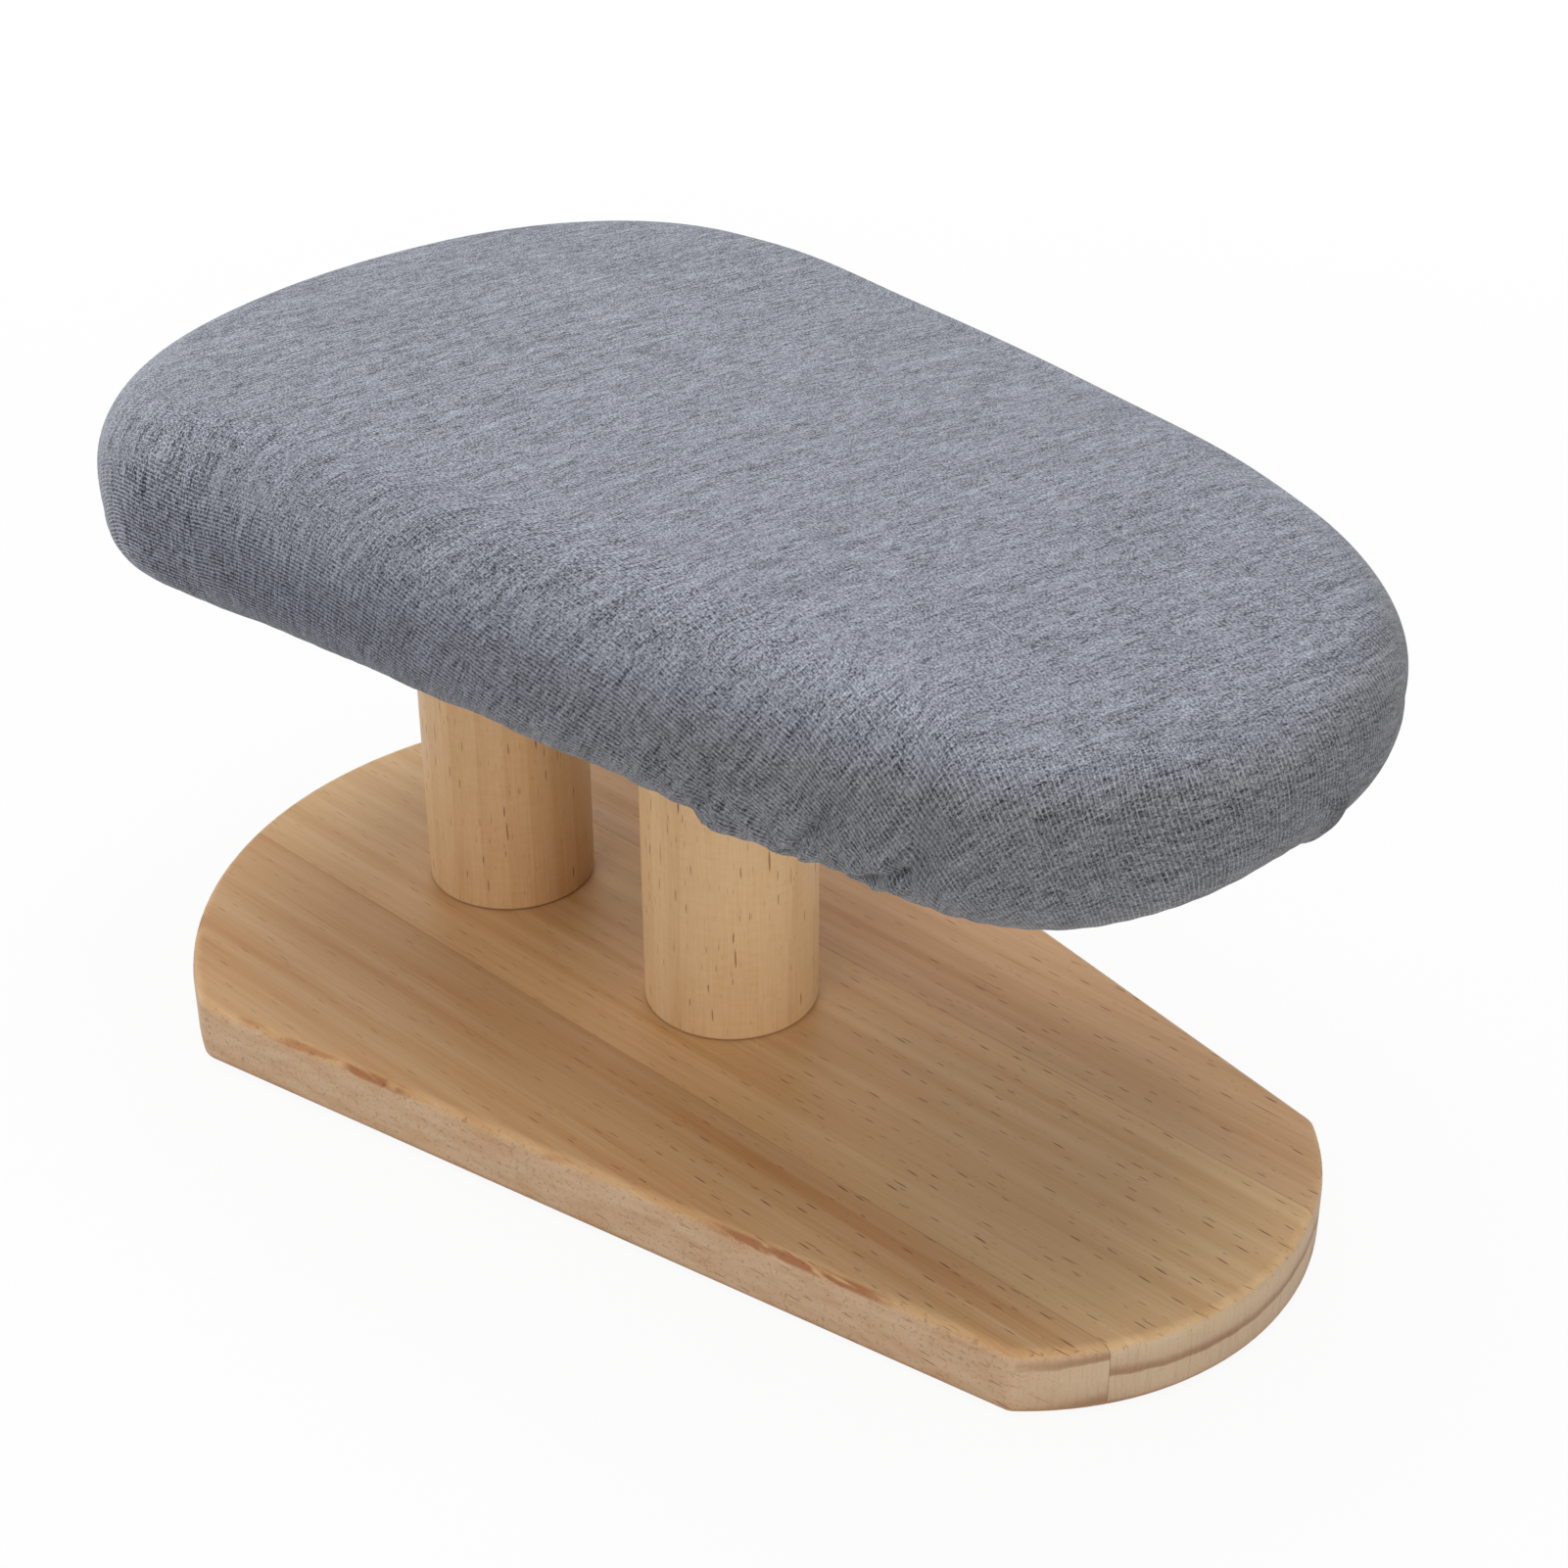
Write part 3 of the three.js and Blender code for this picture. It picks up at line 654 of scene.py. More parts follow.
# %% Steel and plywood
PLY = 2.43
steel, wire, shader = new_material("zinc_steel", Metallic=1.0)
x, y, z = wire.place()
turning = wire.noise(x / 4, y / 4, z / 0.12)
cloud = wire.noise(x / 2, y / 2, z / 2, 3.0)
colour = cloud.mixed(rgb(186, 188, 192), rgb(214, 214, 216))
wire.join(shader, {"Base Color": colour, "Roughness": 0.28 + turning * 0.2})

plywood, wire, shader = new_material("plywood", Roughness=0.6)
x, y, z = wire.place()
layer = wire.maths("PINGPONG", (z - (BASE_THICKNESS + POST_LENGTH)) / PLY, 1.0).step(0.45, 0.55)
face_grain = wire.noise(x / 30, y / 0.7, z / 8, 4.0, 0.6)
edge_grain = wire.noise(x / 0.6, y / 0.6, z / 2, 3.0, 0.6)
facing = wire.facing()
flat = (facing[2] * facing[2]).step(0.6, 0.9)
grain = flat * face_grain + (1.0 - flat) * (edge_grain * 0.5 + layer * 0.5)
colour = grain.mixed(rgb(222, 190, 146), rgb(170, 124, 78))
wire.join(shader, {"Base Color": colour, "Roughness": 0.5 + grain * 0.2})

for name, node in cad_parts.items():
    if "screw" in name or name == "top_board":
        node.data.materials.clear()
        node.data.materials.append(plywood if name == "top_board" else steel)
        print("finish on", name)

# %% [markdown]
# ## The skin of the pad
# The cover is one piece of cloth: it lies on the top, bends over a soft shoulder, goes down the side, tucks under
# the board and ends in a hem round an elastic cord. Such a form is easiest as rows: each row is the pad's outline
# at another height, drawn in by an inset and with its own corner radii. The same numbers made the frame, so the
# cover fits it.

# %% Outline of the pad
PAD_FORM = PAD_LENGTH, PAD_WIDTH, PAD_TAPER = 292.5, 149.0, 0.1
PAD_RADIUS = {1: 88.5, -1: 140.0}
PAD_CORNER = {1: 40.0, -1: 34.0}
BOARD_BOTTOM, CLOTH_BOTTOM = 117.0, 115.5
SIDE_CROWDING, LEAST_CORNER = 1.35, 4.0
REAR_COLUMNS, FRONT_COLUMNS = (30, 48, 42, 42, 36), (36, 88, 112, 42, 36)


def corner_limit(inset, end, corner):
    """The largest corner that the inset outline has room for."""
    half = PAD_WIDTH / 2 - end * PAD_TAPER * PAD_LENGTH / 4
    return max(min(corner, half / math.hypot(1, PAD_TAPER) - inset - 2.0), 0.3)


def half_outline(inset, nose_corner, tail_corner, counts):
    """Half a row of the pad, from the nose to just before the tail: x, y and the plan normal of each column."""
    nose_corner = corner_limit(inset, 1, nose_corner)
    tail_corner = corner_limit(inset, -1, tail_corner)
    nx, ny, nose_middle = side_meets_arc(1, PAD_RADIUS[1], *PAD_FORM, inset + nose_corner)
    tx, ty, tail_middle = side_meets_arc(-1, PAD_RADIUS[-1], *PAD_FORM, inset + tail_corner)
    side = math.atan2(1, PAD_TAPER)
    nose_angle = math.atan2(ny, nx - nose_middle)
    tail_angle = math.atan2(ty, tx - tail_middle)
    arcs = [
        (nose_middle, 0.0, PAD_RADIUS[1] - inset, 0.0, nose_angle),
        (nx, ny, nose_corner, nose_angle, side),
        None,
        (tx, ty, tail_corner, side, tail_angle),
        (tail_middle, 0.0, PAD_RADIUS[-1] - inset, tail_angle, math.pi),
    ]
    runs = []
    for arc, count in zip(arcs, counts):
        share = np.arange(count) / count
        if arc is None:
            turn = np.full(count, side)
            out = np.array((math.cos(side), math.sin(side)))
            first, last = np.array((nx, ny)) + nose_corner * out, np.array((tx, ty)) + tail_corner * out
            spots = first + share[:, None] ** SIDE_CROWDING * (last - first)
        else:
            turn = arc[3] + share * (arc[4] - arc[3])
            spots = np.stack([arc[0] + arc[2] * np.cos(turn), arc[1] + arc[2] * np.sin(turn)], axis=1)
        runs.append(np.column_stack([spots, np.cos(turn), np.sin(turn)]))
    return np.concatenate(runs)


def outline(inset, nose_corner, tail_corner):
    """One row of the pad, once round from the nose, with more columns in its front half."""
    rear = half_outline(inset, nose_corner, tail_corner, REAR_COLUMNS)
    front = half_outline(inset, nose_corner, tail_corner, FRONT_COLUMNS) * np.array((1.0, -1.0, 1.0, -1.0))
    tail = np.array([[inset - PAD_LENGTH / 2, 0.0, -1.0, 0.0]])
    return np.concatenate([rear, tail, front[:0:-1]])


def tucked(inset):
    """A row that is drawn in and keeps its shape: its corners get sharper by the same amount."""
    return outline(inset, *[max(PAD_CORNER[end] - inset, LEAST_CORNER) for end in (1, -1)])


plan = tucked(0.0)
COLUMNS = len(plan)
print("outline columns:", COLUMNS)

# %% [markdown]
# From the middle of the top to the hem, each row gets its inset, its corners and its height. The top is slightly
# crowned and falls a little towards both ends. The shoulder and the tuck are quarter ellipses, and the hem turns
# round the cord and comes back as a narrow flap.

# %% Rows of the skin
RIM_INSET, RIM_CORNER = 12.0, {1: 38.0, -1: 62.0}
RIM_RISE, FOOT_RISE, CROWN = 47.0, 22.3, 2.5
NOSE_FALL, TAIL_FALL = 18.0, 9.6
TUCK_INSET, TUCK_RISE = 12.0, 14.0
HEM_INSET, FLAP_INSET, FLAP_GAP, CORD_ROOM = 34.0, 24.0, 0.4, 1.8
PAD_TOP, CORD_HEIGHT = BOARD_BOTTOM + RIM_RISE, CLOTH_BOTTOM - CORD_ROOM
TOP_ROWS, SHOULDER_ROWS, SIDE_ROWS, TUCK_ROWS, FLAT_ROWS, HEM_ROWS, FLAP_ROWS = 16, 24, 9, 17, 10, 8, 4
RIM_ROW = TOP_ROWS - 1
FOOT_ROW = RIM_ROW + SHOULDER_ROWS
UNDER_ROW = FOOT_ROW + SIDE_ROWS + TUCK_ROWS
HEM_ROW = UNDER_ROW + FLAT_ROWS
EASING_PASSES = 6


def end_fall(x):
    """How far the top has fallen at a place along the pad."""
    return np.where(x > 0, NOSE_FALL, TAIL_FALL) * (2 * x / PAD_LENGTH) ** 2


def row_at(ring, height):
    """The vertices of a row, with one height for all or one for each."""
    return np.column_stack([ring[:, 0], ring[:, 1], np.broadcast_to(height, len(ring))])


def eased(rows):
    """Moves each inner row half of the way to the middle of its neighbours."""
    rows[1:-1] += 0.25 * (rows[2:] + rows[:-2] - 2 * rows[1:-1])


rim = outline(RIM_INSET, RIM_CORNER[1], RIM_CORNER[-1])
rows = []
for share in np.linspace(0.05, 1.0, TOP_ROWS) ** 0.9:
    ring = rim.copy()
    ring[:, :2] *= share
    rows.append(row_at(ring, PAD_TOP - end_fall(ring[:, 0]) + CROWN * (1 - share ** 2)))
for angle in np.linspace(math.pi / 2, 0, SHOULDER_ROWS + 1)[1:]:
    share = 1 - math.cos(angle)
    corners = [PAD_CORNER[end] + share * (RIM_CORNER[end] - PAD_CORNER[end]) for end in (1, -1)]
    ring = outline(RIM_INSET * share, *corners)
    fall = end_fall(ring[:, 0])
    foot = BOARD_BOTTOM + FOOT_RISE - fall / 3
    rows.append(row_at(ring, foot + (PAD_TOP - fall - foot) * math.sin(angle)))
upper = rows[-1][:, 2]
lower = CLOTH_BOTTOM + TUCK_RISE
for share in np.linspace(0, 1, SIDE_ROWS + 1)[1:]:
    rows.append(row_at(plan, upper + (lower - upper) * share))
for angle in np.linspace(0, math.pi / 2, TUCK_ROWS + 1)[1:]:
    ring = tucked(TUCK_INSET * (1 - math.cos(angle)))
    rows.append(row_at(ring, CLOTH_BOTTOM + TUCK_RISE * (1 - math.sin(angle))))
for inset in np.linspace(TUCK_INSET, HEM_INSET, FLAT_ROWS + 1)[1:]:
    rows.append(row_at(tucked(inset), CLOTH_BOTTOM))
for angle in np.linspace(0, math.pi, HEM_ROWS + 1)[1:]:
    ring = tucked(HEM_INSET + CORD_ROOM * math.sin(angle))
    rows.append(row_at(ring, CORD_HEIGHT + CORD_ROOM * math.cos(angle)))
low = CORD_HEIGHT - CORD_ROOM
for share in np.linspace(0, 1, FLAP_ROWS + 1)[1:]:
    ring = tucked(HEM_INSET + share * (FLAP_INSET - HEM_INSET))
    rows.append(row_at(ring, low + share * (CLOTH_BOTTOM - FLAP_GAP - low)))
skin = np.array(rows)
for _ in range(EASING_PASSES):
    eased(skin[:UNDER_ROW + 1])
print("skin:", skin.shape[0], "rows, top at", round(float(skin[..., 2].max()), 1), "mm")

# %% [markdown]
# ## Flat coordinates of the cloth
# Knitted cloth is made flat, and its ribs and streaks bend with it when it is pulled over the pad. So each vertex
# remembers its place on the flat cloth: on the top that is its own x and y, and past the rim it is the rim's
# place plus the length of cloth that runs down from there. Towards the nose the cloth is pulled wider and its
# ribs slant, so its width is shared out there by a curve. Round the tail's corners the ribs turn slowly and each
# row starts from its own place, so that the pattern keeps its size.

# %% Flat places
RIB_RUN = (0.0, 0.08, 0.16, 0.22, 0.28, 0.47, 0.65), (0.0, 0.31, 0.5, 0.61, 0.86, 0.83, 0.97)
WIDENING = (40.0, 80.0, 110.0, 146.0), (1.28, 1.10, 0.96, 0.83)
END_TURN, TURN_REACH, TAIL_BLEND = 0.15, 45.0, ((-80.0, -20.0), (1.0, 0.0))

steps = norm(np.diff(skin[RIM_ROW:], axis=0), axis=2)
run_down = np.zeros(skin.shape[:2])
run_down[RIM_ROW + 1:] = np.cumsum(steps, axis=0)

girth = np.cumsum(norm(np.diff(skin[FOOT_ROW], axis=0, prepend=skin[FOOT_ROW, -1:]), axis=1))
from_nose = 2 * np.minimum(girth - girth[0], girth[-1] - girth + girth[0]) / girth[-1]
across = np.interp(from_nose, *RIB_RUN)
across = np.minimum(across, np.where(plan[:, 2] < 0, np.abs(plan[:, 3]), 1.0))
lengthwise = np.sqrt(1 - across ** 2) * np.tanh(plan[:, 2] / END_TURN)
wide = np.interp(skin[..., 0], *WIDENING)

flat_places = np.stack([skin[..., 0], skin[..., 1] * wide, run_down], axis=2)
way = np.column_stack([lengthwise, across * np.sign(plan[:, 3])])
above_foot = np.minimum(np.arange(len(skin)), FOOT_ROW)
own = flat_places[above_foot, :, :2]
by_rim = own[RIM_ROW] + run_down[RIM_ROW:, :, None] * way

apart = np.abs(girth[:, None] - girth)
apart = np.minimum(apart, girth[-1] - apart)
turning = (np.exp(-(apart / TURN_REACH) ** 2) * np.diff(girth, prepend=0.0)) @ way
turning /= norm(turning, axis=1, keepdims=True)
still_down = run_down - norm((skin[above_foot] - skin[RIM_ROW])[..., :2], axis=2)
by_row = (own + still_down[..., None] * turning)[RIM_ROW:]
tail_share = np.interp(plan[:, 0], *TAIL_BLEND)[:, None]
flat_places[RIM_ROW:, :, :2] = by_rim + tail_share * (by_row - by_rim)
along_pad = skin[..., 0].copy()
along_pad[RIM_ROW:] = by_rim[..., 0]
print("cloth from rim to flap edge:", round(float(run_down[-1].mean()), 1), "mm")

# %% [markdown]
# ## Folds
# Near the nose the hem is pulled unevenly: one stretch of the lower edge hangs lower, creases run up from it, and a
# small tuck stands out under the nose. A fold is a valley along a line with a low ridge on both sides, so each one
# is pressed into the rows along the normals, and the valleys and the tuck keep a depth for painted shade in the
# cloth's colour. The foam is not quite even either: a few soft spots swell or sink.

# %% Press the folds
def ramp(value, low, high):
    """0 at low, 1 at high and smooth between them."""
    share = np.clip((value - low) / (high - low), 0.0, 1.0)
    return share * share * (3 - 2 * share)


CREASES = [
    ((52.0, -66.0, 119.5), (60.0, -68.5, 133.0), 2.2, 0.8),
    ((73.0, -62.5, 118.5), (82.5, -66.5, 129.5), 1.15, 2.0),
    ((82.5, -66.5, 129.5), (95.0, -69.0, 141.0), 3.0, 0.8),
    ((91.0, -62.0, 120.5), (102.5, -64.0, 127.5), 1.2, 1.9),
    ((102.5, -64.0, 127.5), (110.0, -64.0, 138.0), 3.0, 0.7),
]
across = np.roll(skin, -1, axis=1) - np.roll(skin, 1, axis=1)
outward = np.cross(np.gradient(skin, axis=0), across)
outward /= np.maximum(norm(outward, axis=2, keepdims=True), TINY)
outward *= np.sign(outward[RIM_ROW // 3, :, 2].mean())
painted_fold_shade = np.zeros(skin.shape[:2])
for start, end, width, depth in CREASES:
    start, way = np.array(start), np.array(end) - np.array(start)
    along = np.clip(((skin - start) @ way) / (way @ way), 0.0, 1.0)
    apart = norm(skin - start - along[..., None] * way, axis=2)
    fade = 1.0 - 0.5 * along
    valley = np.exp(-(apart / width) ** 2)
    ridge = 0.45 * np.exp(-((apart - 2.2 * width) / (1.2 * width)) ** 2)
    skin -= outward * (depth * fade * (valley - ridge))[..., None]
    # Painted shade: each valley's depth is kept to darken the cloth's colour along the crease.
    painted_fold_shade = np.maximum(painted_fold_shade, valley * fade * depth / 2.0)

SOFT_SPOTS = [
    ((-118.0, 55.0, 157.0), 45.0, -0.8),
    ((-50.0, 69.0, 162.5), 28.0, 1.4),
    ((80.0, 59.5, 157.0), 24.0, 1.2),
    ((114.0, 60.0, 142.0), 20.0, -0.6),
    ((145.0, -3.0, 126.0), 24.0, -1.7),
]
for middle, reach, amount in SOFT_SPOTS:
    apart = norm(skin - np.array(middle), axis=2)
    skin += outward * (amount * np.exp(-(apart / reach) ** 2))[..., None]

x, y, z = skin[..., 0].copy(), skin[..., 1].copy(), skin[..., 2].copy()
wave = girth - run_down * 0.45
pucker = np.sin(wave / 1.05 + 1.3 * np.sin(wave / 5.3)) * ramp(z, 143.0, 122.0) * (z > CLOTH_BOTTOM + 0.5)
pucker *= (y < 0) * (0.05 + 0.32 * ramp(x, 15.0, 60.0) * ramp(x, 120.0, 95.0))
skin += outward * pucker[..., None]
row_number = np.arange(len(skin))[:, None]
lower = ramp(z, 126.0, 119.0) * (y < 0) * ramp(row_number, UNDER_ROW + 8, UNDER_ROW - 4)
drop = ramp(x, 50.6, 51.9) * ramp(x, 88.0, 54.0) * lower
skin += drop[..., None] * np.array((0.0, -0.9, -1.9))
tuck = ramp(y, 4.0, 5.5) * ramp(y, 11.0, 9.5) * ramp(z, 130.5, 128.0) * (x > 100)
skin += outward * (1.0 * tuck)[..., None]
# Painted shade under the tuck.
painted_fold_shade = np.maximum(painted_fold_shade, 0.8 * tuck)
print("folds pressed:", len(CREASES), "creases, a low stretch and a tuck")

# %% [markdown]
# ## Gathers
# Under the board the outline is much shorter than the cloth's cut edge, so the cloth there is loose and buckles
# into small gathers. A short cloth simulation finds them: a coarser copy of the lower rows is pinned above and along
# the hem, and the cloth between grows by a fifth. The movement is kept small and outside the board, and handed back
# to the fine rows.

# %% Gather the cloth
GATHER_FIRST, GATHER_FRAMES, PINNED_ROWS, PINNED_SHARE, LOOSE_FROM, LOOSE_TO = 33, 20, 5, 0.2, 0.3, 0.8
GROWTH, SHAKE, SIDE_REACH, UNDER_REACH, BOARD_ROOM = 0.2, 0.12, 0.3, 3.2, 0.2
fine_rows, coarse_rows = slice(GATHER_FIRST, HEM_ROW + 1), slice(GATHER_FIRST, HEM_ROW + 1, 2)


def quads(count, around):
    """The faces between rows of vertices, each row a closed ring."""
    column = np.arange(around)
    beside = (column + 1) % around
    faces = np.column_stack([column, column + around, beside + around, beside])
    return [tuple(face) for row in range(count - 1) for face in (faces + row * around).tolist()]


start = skin[coarse_rows, ::2].copy()
shaken = start + np.random.default_rng(7).normal(0.0, SHAKE, start.shape)
shaken[:PINNED_ROWS], shaken[-1] = start[:PINNED_ROWS], start[-1]
count, around = start.shape[:2]
mesh = bpy.data.meshes.new("loose_cloth")
mesh.from_pydata((shaken.reshape(-1, 3) * MM).tolist(), [], quads(count, around))
loose = linked("loose_cloth", mesh)
pinned, firm = [loose.vertex_groups.new(name=name) for name in ("pinned", "firm")]
for row in range(count):
    share = row / (count - 1)
    members = list(range(row * around, (row + 1) * around))
    pinned.add(members, 1.0 if share < PINNED_SHARE or row == count - 1 else 0.0, "REPLACE")
    firm.add(members, max(0.0, min(1.0, (LOOSE_TO - share) / (LOOSE_TO - LOOSE_FROM))), "REPLACE")
groups = {"vertex_group_mass": "pinned", "vertex_group_shrink": "firm"}
simulated(loose, GATHER_FRAMES, **groups, shrink_min=-GROWTH, bending_stiffness=1.0)
moved = places(loose).reshape(start.shape) / MM - start
bpy.data.objects.remove(loose)

under = ramp(row_number[coarse_rows], UNDER_ROW - 2, UNDER_ROW + 5)
reach = SIDE_REACH + (UNDER_REACH - SIDE_REACH) * under
far = norm(moved, axis=2)
moved *= (reach * np.tanh(far / reach) / np.maximum(far, TINY))[..., None]
below = start[..., 2] < CLOTH_BOTTOM + 1.0
moved[below, 2] = np.minimum(moved[below, 2], BOARD_ROOM)
tall = np.empty((2 * len(moved) - 1, moved.shape[1], 3))
tall[::2], tall[1::2] = moved, (moved[1:] + moved[:-1]) / 2
fine = np.empty((len(tall), COLUMNS, 3))
fine[:, ::2], fine[:, 1::2] = tall, (tall + np.roll(tall, -1, axis=1)) / 2
eased(fine)
skin[fine_rows] += fine
print("gathers kept to", round(float(np.abs(fine).max()), 2), "mm of", round(float(far.max()), 2), "mm")

# %% [markdown]
# ## Foam padding
# Soft foam gives the cover its body. The frame's solid is remeshed evenly, drawn in a little and then puffed out by
# a short cloth simulation with pressure inside, which rounds its edges as real foam does.

# %% Foam
FOAM_VOXEL, FOAM_SHRINK, FOAM_PRESSURE, FOAM_FRAMES, PUFF_LIMIT = 4.0, 1.2, 4.0, 12, 0.9

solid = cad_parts["padding"]
foam = linked("foam_padding", solid.data.copy())
foam.matrix_world = solid.matrix_world.copy()
only(foam)
ops.object.transform_apply(location=True, rotation=True, scale=True)
opened(foam, "VERT")
cleaned(0.01)
applied(foam, "REMESH", mode="VOXEL", voxel_size=FOAM_VOXEL * MM)
applied(foam, "DISPLACE", strength=-FOAM_SHRINK * MM, mid_level=0.0)
before = places(foam)
simulated(foam, FOAM_FRAMES, use_pressure=True, uniform_pressure_force=FOAM_PRESSURE)
moved = places(foam) - before
far = norm(moved, axis=1, keepdims=True)
kept = before + moved * np.minimum(1.0, PUFF_LIMIT * MM / np.maximum(far, TINY))
foam.data.vertices.foreach_set("co", kept.ravel())
foam.data.update()
print("foam kept to", PUFF_LIMIT, "mm of", round(float(far.max() / MM), 2), "mm")
only(foam)
ops.object.shade_smooth()
foam_finish, wire, shader = new_material("foam", Roughness=0.9)
place = wire.node("TexCoord", {}, {}, "Object")
cells = wire.node("TexVoronoi", {}, {"Vector": place, "Scale": 1400.0})
wire.join(shader, {"Base Color": cells.mixed(rgb(232, 226, 206), rgb(206, 198, 172))})
finished(foam, "padding", foam_finish)

# %% [markdown]
# ## Knitted cover
# The skin's rows become one mesh of quads with a fan in the middle of the top. Each vertex keeps its flat place, the
# painted shade of its fold and its place along the hem. Solidify gives the cloth its thickness towards the inside.

# %% Cover mesh
CLOTH_THICKNESS, NOT_HEM = 1.2, 99.0

hem_places = np.stack(np.broadcast_arrays(girth, run_down[-1] - run_down, along_pad), axis=2)
spots = np.concatenate([skin.reshape(-1, 3), [[0.0, 0.0, PAD_TOP + CROWN]]]) * MM
fan = [(COLUMNS * len(skin), column, (column + 1) % COLUMNS) for column in range(COLUMNS)]
mesh = bpy.data.meshes.new("knit_cover")
mesh.from_pydata(spots.tolist(), [], fan + quads(len(skin), COLUMNS))
for key, kind, field, values, at_top in (
    ("flat", "FLOAT_VECTOR", "vector", flat_places, (0.0, 0.0, 0.0)),
    ("fold", "FLOAT", "value", painted_fold_shade, 0.0),
    ("hem", "FLOAT_VECTOR", "vector", hem_places, (0.0, NOT_HEM, 0.0)),
):
    attribute = mesh.attributes.new(key, kind, "POINT")
    attribute.data.foreach_set(field, np.append(values.ravel(), at_top))
cover = linked("knit_cover", mesh)
opened(cover, "VERT")
cleaned()
applied(cover, "SOLIDIFY", thickness=CLOTH_THICKNESS * MM, offset=-1.0)
only(cover)
ops.object.shade_smooth()
print("cover:", len(skin), "rows of", COLUMNS, "vertices")

# %% [markdown]
# The knit's ribs run along the pad, about one a millimetre. The yarn runs across them and changes from light to
# dark every few millimetres, so short streaks lie across the pad. Sheen stands for the fuzz that makes the
# edges paler, and a row of stitches runs along the hem. The sides are darker than the top, with clearer ribs: the
# darkness is painted shade, a darker copy of the top's colour, and it starts lower on the pad at the tail than at
# the nose. A little painted light brightens the tail's side, and a little painted shade darkens the pad towards
# the nose and over the tail half.

# %% Knit finish
RIB_PITCH, COURSE_PITCH, STREAK_SLANT, STITCH_PITCH = 0.92, 0.5, 0.17, 3.4
# The colour of the painted shade in the folds.
FOLD_SHADE_COLOUR = (0.012, 0.012, 0.014, 1.0)
SIDE_LEAN = {"From Min": -20.0, "From Max": 135.0, "To Min": -13.0, "To Max": 14.0}

knit, wire, shader = new_material(
    "knit", Roughness=0.85, Specular_IOR_Level=0.15, Sheen_Weight=0.18, Sheen_Roughness=0.5
)
flat, hem, fold = [
    wire.node("Attribute", {"attribute_name": name}, {}, output)
    for name, output in (("flat", "Vector"), ("hem", "Vector"), ("fold", "Fac"))
]
u, v, down = flat.parts()
round_hem, from_edge, along = hem.parts()
wander = wire.noise(u / 30, v / 12, 0.0) - 0.5
rib_turn = (v + wander * 0.8) * (2 * math.pi / RIB_PITCH)
rib = wire.maths("COSINE", rib_turn)
leg = wire.maths("COSINE", rib_turn * 2.0)
skew = u - v * STREAK_SLANT
course = wire.maths("FLOOR", (skew + leg * 0.1) / COURSE_PITCH)
yarn = wire.noise(course * 7.31, v / 2.4, 0.0) - 0.5
streak = wire.noise(skew / 0.8, v / 10, 3.0, 2.0, 0.7) - 0.5
band = wire.noise(skew / 3.5, v / 40, 7.0) - 0.5
speck = wire.noise(skew / 0.42, v / 0.5, 11.0, 2.0, 0.7) - 0.5
dash = wire.noise(skew / 0.5, v / 5.0, 17.0).step(0.57, 0.72)
# lean moves the start of the clearer ribs and of the painted shade on the sides: lower at the tail, higher at the
# nose.
lean = along.node("MapRange", {"clamp": True}, {"Value": along, **SIDE_LEAN})
low = (down + lean).step(14.0, 30.0)
mottle = yarn * 0.8 + streak * 0.75 + band * 0.3 + speck * (2.5 - low * 0.5) - dash * (0.26 - low * 0.1)
coarse = wire.noise(skew / 1.0, v / 1.6, 23.0, 2.0, 0.7) - 0.5
ribbed = rib * (0.04 + low * (0.14 - along.step(90.0, 135.0) * 0.06)) + leg * 0.08
mottle = mottle + ribbed + coarse * low * along.step(0.0, -60.0) * 0.8
contrast = 0.88 + low * (0.12 + along.step(40.0, -40.0) * 0.35) + along.step(60.0, -130.0) * 0.6
# Painted light on the tail's side, and painted shade towards the nose and over the tail half.
painted_tail_light = along.step(-95.0, -135.0) * down.step(4.0, 18.0) * 0.11
painted_end_light_and_shade = painted_tail_light - along.step(80.0, 125.0) * 0.02 - along.step(20.0, -80.0) * 0.02
light = (0.45 + painted_end_light_and_shade + mottle * contrast).clamped()
top_colour = light.mixed(rgb(36, 39, 50), rgb(198, 203, 216))
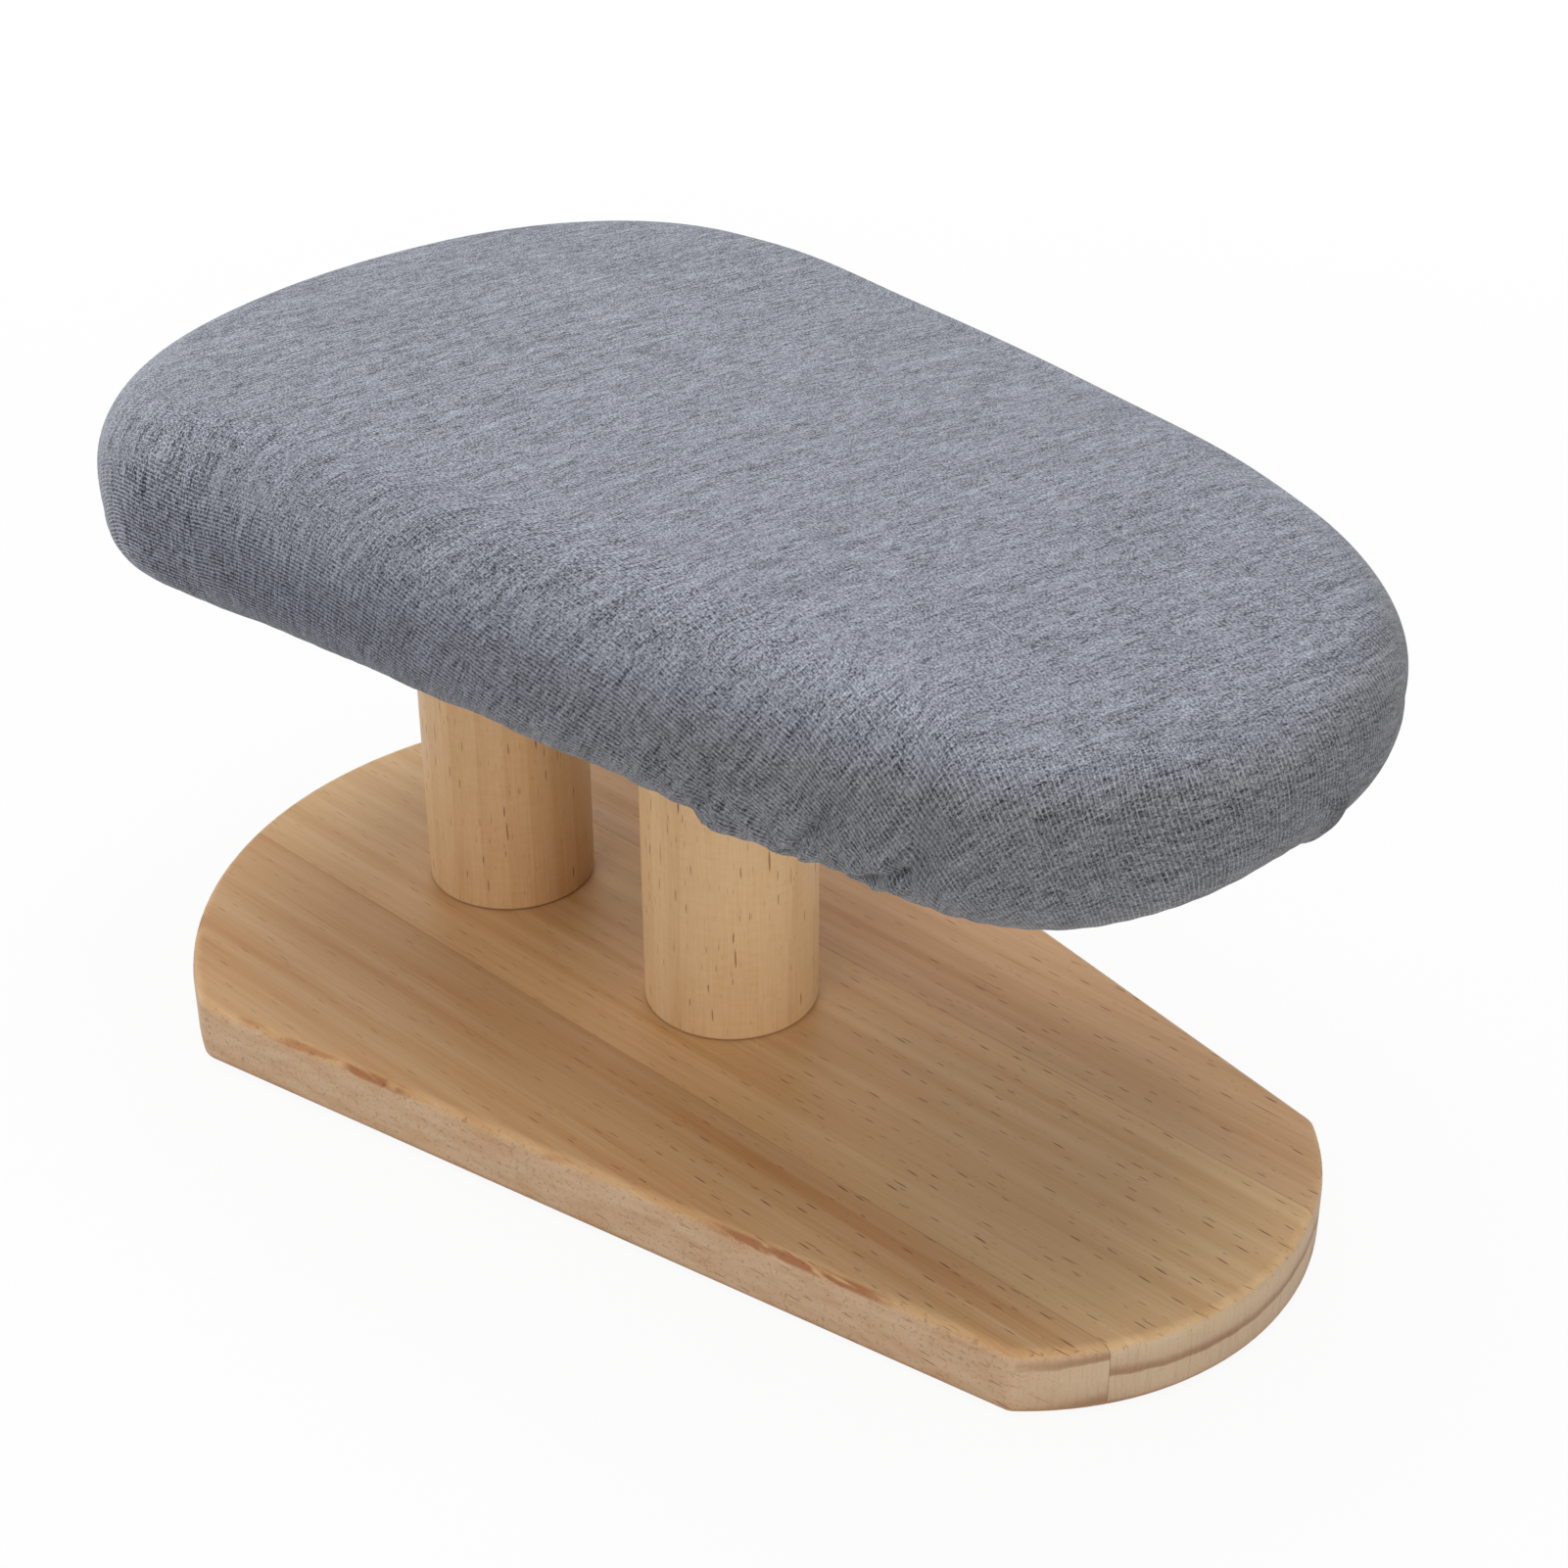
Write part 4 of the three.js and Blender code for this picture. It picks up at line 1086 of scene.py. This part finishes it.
# Painted shade: darker copies of the cloth's colour for the sides, cooler towards the tail and warmer towards the
# nose.
cool_side_shade = light.mixed(rgb(22, 24, 29), rgb(151, 156, 169))
warm_side_shade = light.mixed(rgb(22, 23, 25), rgb(165, 166, 171))
shaded_side_colour = along.step(-20.0, 120.0).mixed(cool_side_shade, warm_side_shade)
# Painted shade: the sides take the darker copy, but not at the tail's end.
side = (down + lean).step(14.0, 36.0) * along.step(-140.0, -30.0)
colour = side.mixed(top_colour, shaded_side_colour)
# Painted shade in the creases and under the tuck.
colour = (fold * 0.55).mixed(colour, FOLD_SHADE_COLOUR)
stitch = from_edge.step(1.2, 1.5) * from_edge.step(2.3, 2.0)
stitch = stitch * wire.maths("FRACT", round_hem / STITCH_PITCH).step(0.22, 0.3)
colour = stitch.mixed(colour, rgb(150, 153, 162))
height = rib * (0.08 + low * 0.2) + leg * 0.15 + (yarn + speck) * 0.5 + stitch
wire.join(shader, {"Base Color": colour, "Normal": wire.bump(0.55, 0.2, height)})
finished(cover, "cover", knit)

# %% [markdown]
# ## Elastic cord
# A round cord lies in the hem and pulls it in under the board. A path with a round section is a curve with a
# bevel, turned into a mesh when it is done.

# %% Cord
CORD_RADIUS = 1.5
curve = bpy.data.curves.new("elastic_cord", "CURVE")
curve.dimensions = "3D"
curve.bevel_depth = CORD_RADIUS * MM
curve.bevel_resolution = 3
spline = curve.splines.new("POLY")
spline.points.add(COLUMNS - 1)
spline.use_cyclic_u = True
for point, spot in zip(spline.points, tucked(HEM_INSET)):
    point.co = (spot[0] * MM, spot[1] * MM, CORD_HEIGHT * MM, 1.0)
only(linked("elastic_cord", curve))
ops.object.convert(target="MESH")
cord = bpy.context.object
ops.object.shade_smooth()
cord_finish, wire, shader = new_material("elastic", Roughness=0.7)
x, y, z = wire.place()
braid = wire.maths("SINE", (x + y) * 6.0 + z * 4.0) * 0.5 + 0.5
wire.join(shader, {"Base Color": braid.mixed(rgb(200, 200, 198), rgb(232, 232, 230))})
finished(cord, "hem_elastic", cord_finish)

# %% [markdown]
# ## End

# %% End
print("all pieces built")
